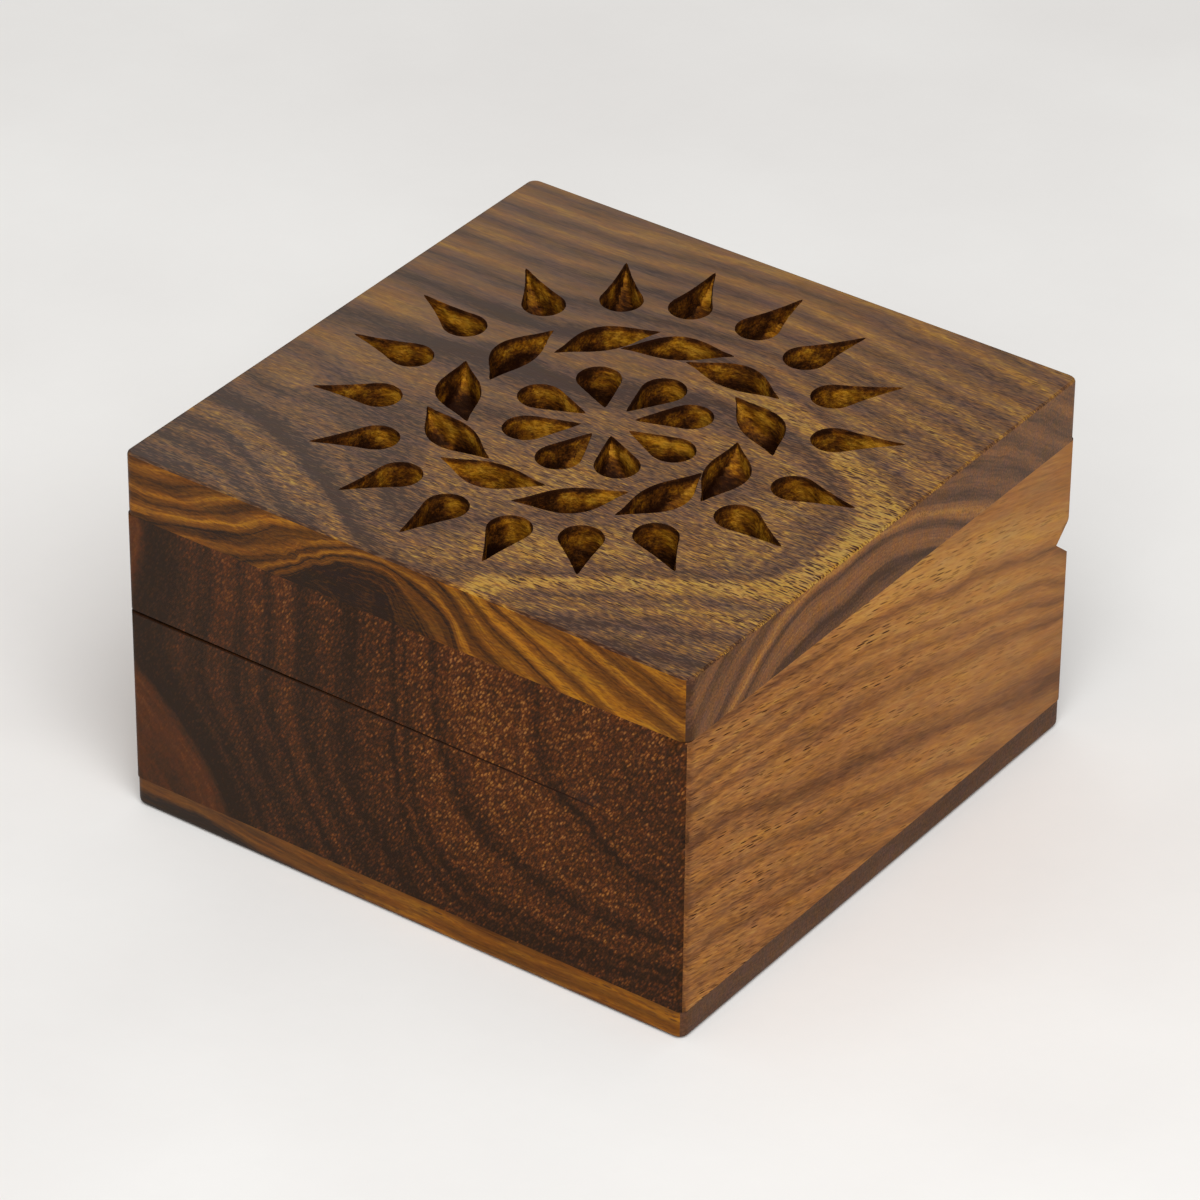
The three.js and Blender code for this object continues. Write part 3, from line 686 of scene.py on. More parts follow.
@dataclass(frozen=True)
class WoodFinish:
    """Waxed rosewood as one kind of face shows it.

    The age of the wood sets how light it is, and short dashes of light and dark fibres break the bands up.
    """

    name: str
    grain: Grain
    levels: tuple[Flat, ...]
    palette: tuple[tuple[float, Tone], ...]
    wander: float = 0.8
    feather: float = 0.6
    lines: tuple[float, float] = (0.5, 0.5)
    dash: tuple[float, float, float] = (1.5, 0.27, 0.8)
    fibre: tuple[float, float, float] = (6.0, 0.3, 0.4)
    patch: float = 0.25
    tilt: float = 0.0
    pores: float = 0.85
    pore_size: tuple[float, float] = (2.8, 0.5)
    pore_share: float = 0.8
    cells: float = 0.0
    crisp: tuple[float, float, float, float] = (-70.0, 30.0, 1.0, 1.0)
    # How strong the painted sheen grows, and the side that it grows towards.
    painted_sheen: tuple[float, Side] = (0.0, Side.LEFT)
    # How dark the painted shade line in the gap between lid and base is.
    gap_shade: float = 0.0
    worn: float = 0.0
    hue: float = 1.0
    gloss: float = 0.42
    shine: float = 0.2

    # The sizes of the patterns in millimetres: along the fibres and across them, or along each axis.
    BANDS = (14, 1.7)
    TUFTS = (2.4, 0.3)
    RINGS = (9, 9, 40)
    PATCHES = (34, 12)
    YELLOW = (8.0, 1.9)
    RED = (6.0, 1.5)
    ZONES = (12, 3)
    CELLS = (0.36, 5.0, 0.95)
    CRUMBS = (0.28, 4.0, 0.6)
    # The way from the near right corner to the far left one, and the ages of the solid dark band.
    AWAY = (-0.58, 0.81)
    DARK_AGES = (34.5, 36.5)
    # In millimetres: the worn strip at the front, where the painted sheen (a grey reflection of the room)
    # begins and ends, the soft edge of the painted shade line in the lid's gap, and where that line runs out
    # along the front.
    WORN_WIDTH = 2.2
    SHEEN_SPAN = (-20, 45)
    GAP_SHADE_EDGE = (0.08, 0.24)
    GAP_SHADE_END = (30, 40)
    # How far the dashes swing the roughness, and how much the pores add to it.
    GLOSS_SWING = 0.14
    PORE_ROUGHNESS = 0.25

    def sheet(self, bench: Bench, along: float, across: float, shift: float) -> Socket:
        """Returns coordinates stretched along the fibres, for a pattern of this size in millimetres."""
        return bench.grid(self.grain.sizes(along, across), self.grain.tilt(self.tilt), shift)

    def crispness(self, bench: Bench) -> Socket:
        """Returns how strong the fine marks are, from the near right corner to the far left one."""
        across = bench.times(bench.axis(1), self.AWAY[1])
        away = bench.work("MULTIPLY_ADD", bench.axis(0), self.AWAY[0], across)
        return bench.rise(away, *self.crisp)

    def net(self, bench: Bench, age: Socket) -> Socket:
        """Returns the fine net of end grain, which is calmer in the solid dark band."""
        calm = bench.rise(age, *self.DARK_AGES, start=1.0, end=0.3)
        cells = bench.cells(bench.grid(self.CELLS, turn=(0, 33, 0)))
        crumbs = bench.noise(bench.grid(self.CRUMBS, turn=(0, 30, 0), shift=2), 2.0, 0.6)
        both = bench.add(bench.swing(cells, self.cells * 0.3), bench.swing(crumbs, self.cells))
        return bench.work("MULTIPLY_ADD", both, calm, 0.5)

    def lightness(self, bench: Bench) -> tuple[Socket, Socket]:
        """Works out how light the wood is at each place.

        Args:
            bench: where the nodes are laid out.

        Returns:
            The level, and the pattern of short fibres for the relief.
        """
        broad = bench.noise(self.sheet(bench, *self.BANDS, 0), 2.0)
        tufts = bench.noise(self.sheet(bench, *self.TUFTS, 7), 2.0, 0.6)
        age = bench.add(bench.attribute("growth"), bench.swing(broad, self.wander * 2))
        rings = bench.lift(bench.grid(self.RINGS, shift=6), bench.work("DIVIDE", age, self.lines[0]))
        age = bench.add(age, bench.swing(tufts, self.feather * 2))
        level = bench.add(bench.levels(age, self.levels), bench.attribute("glow"))
        worn = bench.rise(bench.axis(1), -HALF, -HALF + self.WORN_WIDTH, start=-self.worn, end=0)
        level = bench.add(level, worn)
        dash = bench.noise(self.sheet(bench, *self.dash[:2], 3), 1.5)
        fibre = bench.noise(self.sheet(bench, *self.fibre[:2], 11), 2.0, 0.6)
        patch = bench.noise(self.sheet(bench, *self.PATCHES, 5), 3.0)
        fine = [(dash, self.dash[2])]
        if self.cells > 0:
            fine.append((self.net(bench, age), 1.0))
        for pattern, amount in ((fibre, self.fibre[2]), (bench.noise(rings, 2.0, 0.6), self.lines[1]),
                                (patch, self.patch)):
            level = bench.add(level, bench.swing(pattern, amount))
        for pattern, amount in fine:
            level = bench.add(level, bench.times(bench.swing(pattern, amount), self.crispness(bench)))
        return level, dash

    def pore(self, bench: Bench, level: Socket) -> Socket:
        """Returns the strength of the pores, long ones and short ones, which shows most in light wood."""
        long, wide = self.pore_size
        dashes = bench.marks(self.sheet(bench, long, wide, 0), core=0.2, edge=0.44, share=self.pore_share)
        short = bench.marks(self.sheet(bench, long * 0.5, wide * 0.7, 4), core=0.15, edge=0.4, share=0.6)
        spread = bench.noise(self.sheet(bench, *self.ZONES, 9), detail=1.0)
        zone = bench.rise(spread, low=0.3, high=0.6, start=0.4, end=1.0)
        pore = bench.times(bench.work("MAXIMUM", dashes, bench.times(short, 0.7)), zone)
        pore = bench.times(pore, bench.rise(level, low=0.45, high=0.8, start=0.35, end=1.0))
        return bench.times(pore, self.crispness(bench))

    def material(self) -> bpy.types.Material:
        """Builds the material.

        Returns:
            The finished material, which reads the growth and the glow that the mesh carries.
        """
        bench = Bench(self.name)
        level, dash = self.lightness(bench)
        yellow = bench.noise(self.sheet(bench, *self.YELLOW, 13), 4.0, 0.65)
        red = bench.noise(self.sheet(bench, *self.RED, 17), 4.0, 0.65)
        colour = bench.hued(bench.palette(level, self.palette), yellow, red, self.hue)
        pore = self.pore(bench, level)
        colour = bench.blend(bench.times(pore, self.pores), colour, Tone.PORE.linear())
        # Painted sheen: a grey veil that grows towards one side and stands in for reflected light.
        share, side = self.painted_sheen
        if share:
            sheen = bench.rise(bench.axis(*side.value), *self.SHEEN_SPAN, start=0, end=share)
            colour = bench.blend(sheen, colour, Tone.PAINTED_SHEEN.linear())
        # Painted shade: a thin dark line along the parting line, where the gap between lid and base lies in
        # shadow; it fades out along the front.
        if self.gap_shade:
            off = bench.work("ABSOLUTE", bench.work("SUBTRACT", bench.axis(2), PARTING))
            length = bench.rise(bench.axis(0), *self.GAP_SHADE_END, start=self.gap_shade, end=0)
            line = bench.times(bench.rise(off, *self.GAP_SHADE_EDGE, start=1, end=0), length)
            colour = bench.blend(line, colour, Tone.PITCH.linear())
        bench.feed(bench.surface.inputs["Base Color"], colour)
        rough = bench.add(bench.swing(dash, self.GLOSS_SWING), self.gloss)
        rough = bench.work("MULTIPLY_ADD", pore, self.PORE_ROUGHNESS, rough)
        bench.feed(bench.surface.inputs["Roughness"], rough)
        bench.surface.inputs["Specular IOR Level"].default_value = self.shine
        bench.relief(bench.work("SUBTRACT", bench.times(dash, 0.5), pore), depth=0.05)
        return bench.material


@dataclass(frozen=True)
class CutFinish:
    """The walls of the pierced openings: sawn and pared wood, golden along the fibres and dark across."""

    name: str = "pared_wood"

    # The depths in millimetres over which the walls leave the dark rim, then where painted shade darkens them
    # deeper down.
    RIM = (0.1, 1.1)
    SHADE_DEPTHS = (1.6, 6.0)
    # The sizes of the patterns along each axis, in millimetres.
    PATCHES = (4.0, 3.0, 2.5)
    CUTS = (1.6, 0.4, 0.4)
    FUZZ = (0.6, 0.2, 0.25)
    YELLOW = (2.0, 1.2, 1.2)
    RED = (1.8, 1.0, 1.0)

    def material(self) -> bpy.types.Material:
        """Builds the material, dark at the rim and darker down the walls with painted shade, with fibres that
        run along the board.
        """
        bench = Bench(self.name)
        patch = bench.noise(bench.grid(self.PATCHES, shift=3), 2.0)
        cuts = bench.noise(bench.grid(self.CUTS, shift=7), 2.0, 0.6)
        fuzz = bench.noise(bench.grid(self.FUZZ, shift=5), 2.0, 0.7)
        depth = bench.work("SUBTRACT", HEIGHT, bench.axis(2))
        facing = bench.nodes.new("ShaderNodeNewGeometry")
        split = bench.nodes.new("ShaderNodeSeparateXYZ")
        bench.links.new(facing.outputs["Normal"], split.inputs[0])
        # Painted shade: the walls darken further down, where the opening lies in shadow.
        level = bench.add(bench.rise(depth, *self.RIM, start=0.34, end=0.78),
                          bench.rise(depth, *self.SHADE_DEPTHS, start=0.0, end=-0.55))
        across = bench.work("ABSOLUTE", split.outputs[0])
        end = bench.rise(across, low=0.5, high=1.0, start=0.0, end=-0.28)
        for part in (end, bench.swing(patch, 1.6), bench.swing(cuts, 0.9), bench.swing(fuzz, 0.4)):
            level = bench.add(level, part)
        colour = bench.palette(level, ((0.0, Tone.PITCH), (0.25, Tone.NIGHT), (0.5, Tone.BARK),
                                       (0.75, Tone.AMBER), (1.05, Tone.GOLD)))
        yellow = bench.noise(bench.grid(self.YELLOW, shift=13), 3.0, 0.6)
        red = bench.noise(bench.grid(self.RED, shift=17), 3.0, 0.6)
        colour = bench.hued(colour, yellow, red, amount=1.0)
        bench.feed(bench.surface.inputs["Base Color"], colour)
        bench.feed(bench.surface.inputs["Roughness"], bench.work("MULTIPLY_ADD", fuzz, 0.2, 0.5))
        bench.surface.inputs["Specular IOR Level"].default_value = 0.03
        bench.relief(bench.add(cuts, bench.times(fuzz, 0.6)), depth=0.14)
        return bench.material


@dataclass(frozen=True)
class BrassFinish:
    """Worn brass: drawn along its length, darker where it is seldom touched."""

    name: str = "worn_brass"

    # The sizes of the patterns along each axis, in millimetres.
    DRAWN = (6.0, 0.05, 0.05)
    CLOUDS = (2.5, 2.0, 2.0)
    SPOTS = (0.9, 0.9, 0.9)

    def material(self) -> bpy.types.Material:
        """Builds the material, with fine drawn lines and spots of tarnish."""
        bench = Bench(self.name)
        drawn = bench.noise(bench.grid(self.DRAWN), 2.0)
        cloud = bench.noise(bench.grid(self.CLOUDS, shift=3), 4.0, 0.6)
        spots = bench.marks(bench.grid(self.SPOTS), core=0.08, edge=0.3, share=0.35)
        dull = bench.rise(cloud, low=0.45, high=0.75, start=0.0, end=0.75)
        old = bench.work("MAXIMUM", dull, bench.times(spots, 0.7))
        colour = bench.blend(old, Tone.BRASS.linear(), Tone.TARNISH.linear())
        bench.feed(bench.surface.inputs["Base Color"], colour)
        bench.surface.inputs["Metallic"].default_value = 1.0
        rough = bench.add(bench.work("MULTIPLY_ADD", old, 0.25, 0.26), bench.swing(drawn, 0.16))
        bench.feed(bench.surface.inputs["Roughness"], rough)
        bench.relief(drawn, depth=0.01)
        return bench.material


@dataclass(frozen=True)
class FloorFinish:
    """A plain pale floor, limewashed, with a faint cloudiness."""

    name: str = "pale_floor"

    # The sizes of the patterns along each axis, in millimetres.
    CLOUDS = (120, 120, 120)
    GRIT = (6, 6, 6)

    def material(self) -> bpy.types.Material:
        """Builds the material."""
        bench = Bench(self.name)
        cloud = bench.noise(bench.grid(self.CLOUDS), 3.0, 0.5)
        grit = bench.noise(bench.grid(self.GRIT, shift=3), 3.0, 0.6)
        pale = bench.rise(cloud, low=0.3, high=0.7)
        colour = bench.blend(pale, Tone.CHALK.linear(), Tone.LIME.linear())
        colour = bench.lighten(colour, bench.add(bench.swing(grit, 0.02), 1.0))
        bench.feed(bench.surface.inputs["Base Color"], colour)
        bench.surface.inputs["Roughness"].default_value = 0.75
        bench.surface.inputs["Specular IOR Level"].default_value = 0.2
        bench.relief(grit, depth=0.05)
        return bench.material


@dataclass(frozen=True)
class Coat:
    """What one kind of face wears: its finish, its figure, its glow, and how the figure runs inwards."""

    finish: WoodFinish | CutFinish
    figure: Figure
    glow: Figure | None = None
    inward: float = 0.0


class Shop:
    """Keeps each finish's material once, however many pieces wear it."""

    def __init__(self) -> None:
        """Starts with no materials made."""
        self.made: dict[str, bpy.types.Material] = {}

    def material(self, finish: WoodFinish | CutFinish | BrassFinish | FloorFinish) -> bpy.types.Material:
        """Returns the finish's material, made when it is first asked for."""
        if finish.name not in self.made:
            self.made[finish.name] = finish.material()
        return self.made[finish.name]


TOP_TONES = ((0.0, Tone.TOP_DEEP), (0.25, Tone.TOP_DARK), (0.55, Tone.TOP_TAN), (0.85, Tone.TOP_GOLD),
             (1.05, Tone.TOP_BRIGHT))
EDGE_TONES = ((0.0, Tone.EDGE_DEEP), (0.3, Tone.EDGE_DARK), (0.6, Tone.EDGE_AMBER), (1.0, Tone.EDGE_GOLD))
END_TONES = ((0.0, Tone.END_DEEP), (0.35, Tone.END_BROWN), (0.65, Tone.END_TAN), (1.0, Tone.END_GOLD))
DARK_TONES = ((0.0, Tone.COAL), (0.35, Tone.CHAR), (0.6, Tone.RUST), (0.85, Tone.EMBER), (1.15, Tone.SPARK))
LIGHT_TONES = ((0.0, Tone.SADDLE), (0.3, Tone.COPPER), (0.62, Tone.APRICOT), (1.0, Tone.WHEAT))

PANEL_TOP = WoodFinish(
    "panel_top_wood", Grain.ALONG_X,
    ((12, 0.42), (16, 0.64), (18.6, 0.24), (22, 0.66), (24.6, 0.2), (27.5, 0.66), (29.6, 0.2),
     (32.5, 0.64), (34.6, 0.18), (38, 0.64), (40.3, 0.18), (43, 0.66), (44.6, 0.38), (45.6, 0.2), (46.7, 0.4),
     (47.9, 0.74), (51.2, 0.82), (52.5, 0.42), (53.5, 0.12), (55, 0.22), (56.5, 0.42), (58, 0.64),
     (60.5, 0.45), (62, 0.2), (64, 0.36), (66, 0.56), (70, 0.5)),
    TOP_TONES, lines=(0.7, 0.5), dash=(1.4, 0.26, 1.2), pores=1.0, pore_size=(2.5, 0.46), pore_share=1.0,
    crisp=(-30, 45, 1.9, 0.3), painted_sheen=(0.08, Side.LEFT), shine=0.24,
)
PANEL_ARRIS = replace(PANEL_TOP, name="panel_arris_wood", shine=0.03, gloss=0.6)
PANEL_EDGE = WoodFinish(
    "panel_edge_wood", Grain.ALONG_X,
    ((0, 0.0), (3, 0.0), (4.4, 0.12), (6, 0.5), (7.2, 0.3), (8.2, 0.06), (9.2, 0.5), (10, 0.8),
     (10.9, 0.45), (12, 0.15), (13.2, 0.5), (14.2, 0.7), (15.4, 0.35), (16.4, 0.18), (17.1, 0.6),
     (18, 0.98), (18.9, 0.64), (20, 0.26), (21.1, 0.66), (22, 0.84), (23, 0.5), (24.2, 0.32), (25.2, 0.68),
     (26, 0.86), (27.2, 0.28), (29, 0.38), (30.4, 0.8), (33, 0.4)),
    EDGE_TONES, wander=0.35, feather=0.25, lines=(0.45, 0.9), dash=(1.2, 0.3, 0.6), fibre=(6.0, 0.25, 0.15),
    pores=0.6, shine=0.05, painted_sheen=(0.025, Side.LEFT), hue=0.9,
)
PANEL_END = WoodFinish(
    "panel_end_wood", Grain.ALONG_X,
    ((-0.6, 0.4), (0.6, 0.25), (1.4, 0.0), (2.2, 0.02), (3.2, 0.48), (5, 0.62), (7, 0.5), (8, 0.1),
     (9.1, 0.6), (10, 0.92), (10.9, 0.6), (12, 0.16), (14, 0.5), (16, 0.18), (18, 0.52), (20, 0.2),
     (22, 0.52), (24, 0.22), (26, 0.52), (28, 0.4)),
    END_TONES, wander=0.25, feather=0.2, lines=(0.5, 0.8), dash=(1.5, 0.35, 0.75), pores=0.5, shine=0.03,
    painted_sheen=(0.08, Side.BACK), worn=0.4, hue=0.9,
)
BLOCK_END = WoodFinish(
    "block_end_wood", Grain.ALONG_Y,
    ((-3, 0.46), (1.4, 0.46), (1.9, 0.08), (2.5, 0.44), (4.8, 0.58), (5.6, 0.32), (6.1, 0.08), (6.7, 0.5),
     (8.4, 0.52), (9.0, 0.12), (9.5, 0.5), (10.2, 0.12), (10.9, 0.44), (12.6, 0.4), (13.7, 0.08),
     (15.4, 0.48), (18, 0.12), (19.4, 0.5), (21, 0.44), (22, 0.14), (23.4, 0.5), (25, 0.42), (26, 0.2),
     (27.6, 0.48), (29, 0.42), (30, 0.14), (31.6, 0.42), (33.4, 0.0), (35.6, 0.0), (36.4, 0.5), (38, 0.66),
     (40, 0.46)),
    DARK_TONES, wander=0.4, feather=0.15, lines=(0.55, 0.5), cells=1.25, dash=(1.5, 1.2, 0.25),
    fibre=(6.0, 0.8, 0.2), pores=0.4, shine=0.06, gloss=0.5, crisp=(-45, -10, 1.0, 0.5),
    painted_sheen=(0.03, Side.LEFT), gap_shade=0.95, hue=0.9,
)
BLOCK_LONG = WoodFinish(
    "block_long_wood", Grain.ALONG_Y,
    ((2, 0.45), (6, 0.4), (8, 0.6), (10, 0.76), (11.2, 0.6), (12, 0.12), (12.8, 0.5), (14.6, 0.68),
     (16, 0.28), (17, 0.62), (19, 0.26), (20.2, 0.64), (22, 0.22), (23, 0.62), (24.8, 0.52), (26, 0.06),
     (26.8, 0.45), (28.4, 0.64), (30, 0.22), (31, 0.62), (33, 0.56), (34, 0.34), (35, 0.58), (36.4, 0.22),
     (37.6, 0.62), (40, 0.36), (42, 0.64)),
    LIGHT_TONES, wander=0.4, feather=0.3, lines=(0.5, 0.6), dash=(2.4, 0.3, 0.5), fibre=(9.0, 0.3, 0.4),
    tilt=13, pores=0.75, pore_size=(3.4, 0.4), crisp=(-75, 15, 2.4, 0.5), painted_sheen=(0.07, Side.BACK),
    worn=0.35, hue=0.7, gloss=0.5, shine=0.03,
)
BLOCK_INSIDE = WoodFinish(
    "block_inside_wood", Grain.ALONG_Y,
    ((0, 0.4), (4, 0.7), (8, 0.3), (12, 0.75), (16, 0.35), (20, 0.75), (24, 0.35), (28, 0.7), (33, 0.3),
     (38, 0.7), (42, 0.3), (48, 0.7), (54, 0.3), (60, 0.7), (66, 0.4)),
    DARK_TONES, gloss=0.62, shine=0.1, fibre=(9.0, 0.3, 0.5),
)
# The rims where lid and base meet: rosewood kept darker than the rest, partly painted shade so that the gap
# between them reads dark.
BLOCK_RIM_SHADED = WoodFinish(
    "block_rim_shaded_wood", Grain.ALONG_Y,
    ((12, 0.3), (18, 0.1), (25, 0.35), (32, 0.1), (38, 0.38), (44, 0.12), (50, 0.4), (56, 0.1), (62, 0.35),
     (70, 0.15)),
    DARK_TONES, gloss=0.62, shine=0.05,
)
BOTTOM_EDGE = WoodFinish(
    "bottom_edge_wood", Grain.ALONG_X,
    ((-2, 0.05), (2, 0.12), (4, 0.3), (6, 0.62), (9, 0.42), (12, 0.66), (15, 0.4), (18, 0.55)),
    EDGE_TONES, wander=1.2, lines=(1.0, 0.6), dash=(1.5, 0.4, 0.3), fibre=(6.0, 0.5, 0.2), patch=1.0,
    shine=0.05, painted_sheen=(0.06, Side.LEFT), hue=0.9,
)
BOTTOM_END = WoodFinish(
    "bottom_end_wood", Grain.ALONG_X,
    ((-2, 0.1), (6, 0.2), (12, 0.1), (18, 0.2)),
    END_TONES, dash=(1.5, 0.5, 0.5), shine=0.05,
)


def slice_up(shape: bmesh.types.BMesh, step: float) -> None:
    """Cuts a shape along a regular grid, so that the figure can bend over its flat faces.

    Args:
        shape: the shape to cut.
        step: the distance between the cuts, in millimetres.
    """
    for axis in range(3):
        spots = [v.co[axis] for v in shape.verts]
        low, high = min(spots), max(spots)
        count = max(1, round((high - low) / (step * MM)))
        for i in range(1, count):
            at, way = Vector(), Vector()
            at[axis] = low + (high - low) * i / count
            way[axis] = 1.0
            parts = shape.verts[:] + shape.edges[:] + shape.faces[:]
            bmesh.ops.bisect_plane(shape, geom=parts, dist=CUT_SNAP, plane_co=at, plane_no=way)


def merged_copy(node: bpy.types.Object) -> bmesh.types.BMesh:
    """Copies a CAD node's mesh and joins its loose triangles into whole faces.

    Args:
        node: the CAD node.

    Returns:
        The closed shape.
    """
    shape = bmesh.new()
    shape.from_mesh(node.data)
    bmesh.ops.remove_doubles(shape, verts=shape.verts, dist=SAME_PLACE)
    bmesh.ops.dissolve_limit(shape, angle_limit=math.radians(SAME_FACE), verts=shape.verts, edges=shape.edges)
    return shape


def plank(low: Vector, high: Vector, radius: float) -> bmesh.types.BMesh:
    """Makes a board with rounded upright corners.

    Args:
        low: its lowest corner.
        high: its highest corner.
        radius: the corners' radius, in millimetres.

    Returns:
        The board's shape.
    """
    shape = bmesh.new()
    bmesh.ops.create_cube(shape, size=1.0)
    bmesh.ops.scale(shape, vec=high - low, verts=shape.verts)
    bmesh.ops.translate(shape, vec=(high + low) / 2, verts=shape.verts)
    upright = [e for e in shape.edges if abs(e.verts[0].co.z - e.verts[1].co.z) > SAME_PLACE]
    bmesh.ops.bevel(shape, geom=upright, offset=radius * MM, segments=5, profile=0.5,
                    affect="EDGES", material=-1)
    return shape


def soften(shape: bmesh.types.BMesh, level: float, width: float, segments: int) -> None:
    """Rounds the edges that lie at one height.

    Args:
        shape: the shape to soften.
        level: the height of the edges, in metres.
        width: how wide the rounding is, in millimetres.
        segments: how many steps it has.
    """
    border = [e for e in shape.edges if all(abs(v.co.z - level) < SAME_PLACE for v in e.verts)]
    bmesh.ops.bevel(shape, geom=border, offset=width * MM, segments=segments, profile=0.5,
                    affect="EDGES", material=-1)


def settle(shape: bmesh.types.BMesh) -> None:
    """Sorts a shape's points and faces by place, so that each run stores them in the same order."""
    places = {v: tuple(v.co) for v in shape.verts}
    middles = {f: tuple(f.calc_center_median()) for f in shape.faces}
    for elements, keys in ((shape.verts, places), (shape.faces, middles)):
        ranks = {element: rank for rank, element in enumerate(sorted(keys, key=keys.get))}
        elements.sort(key=ranks.get)


def finished(name: str, shape: bmesh.types.BMesh, corner: float = CORNER) -> bpy.types.Object:
    """Turns a shape into a piece, smooth except at its corners.

    Args:
        name: the piece's name.
        shape: the shape, which is used up.
        corner: the angle in degrees from which an edge is a corner.

    Returns:
        The piece.
    """
    settle(shape)
    mesh = bpy.data.meshes.new(name)
    shape.to_mesh(mesh)
    shape.free()
    mesh.shade_smooth()
    mesh.set_sharp_from_angle(angle=math.radians(corner))
    piece = bpy.data.objects.new(name, mesh)
    bpy.context.scene.collection.objects.link(piece)
    return piece


def dress(piece: bpy.types.Object, shop: Shop, choose: Callable[[Vector, Vector], Coat]) -> None:
    """Gives each face its finish, each face corner its growth, and the whole an even shading.

    Args:
        piece: the piece to dress.
        shop: where the materials come from.
        choose: says which coat a face wears, from its middle in millimetres and its normal.
    """
    mesh = piece.data
    coats: list[Coat] = []
    groups: dict[tuple[int, Side], list[int]] = {}
    for face in mesh.polygons:
        coat = choose(face.center / MM, face.normal)
        if coat not in coats:
            coats.append(coat)
            mesh.materials.append(shop.material(coat.finish))
        face.material_index = coats.index(coat)
        groups.setdefault((face.material_index, Side.of(face.normal)), []).extend(face.loop_indices)
    places = np.zeros(len(mesh.vertices) * 3)
    mesh.vertices.foreach_get("co", places)
    places = places.reshape(-1, 3) / MM
    corners = np.zeros(len(mesh.loops), int)
    mesh.loops.foreach_get("vertex_index", corners)
    growth, glow = np.zeros(len(mesh.loops)), np.zeros(len(mesh.loops))
    for (index, side), loops in groups.items():
        coat = coats[index]
        spots = places[corners[loops]]
        flat = side.flatten(spots)
        depth = HALF - np.abs(spots[:, side.value[0] if side.value[0] < 2 else 0])
        growth[loops] = coat.figure.ages(flat) + coat.inward * depth
        if coat.glow:
            glow[loops] = coat.glow.ages(flat)
    for name, values in (("growth", growth), ("glow", glow)):
        layer = mesh.attributes.new(name, "FLOAT", "CORNER")
        layer.data.foreach_set("value", values.astype(np.float32))
    piece.modifiers.new("even_shading", "WEIGHTED_NORMAL").keep_sharp = True


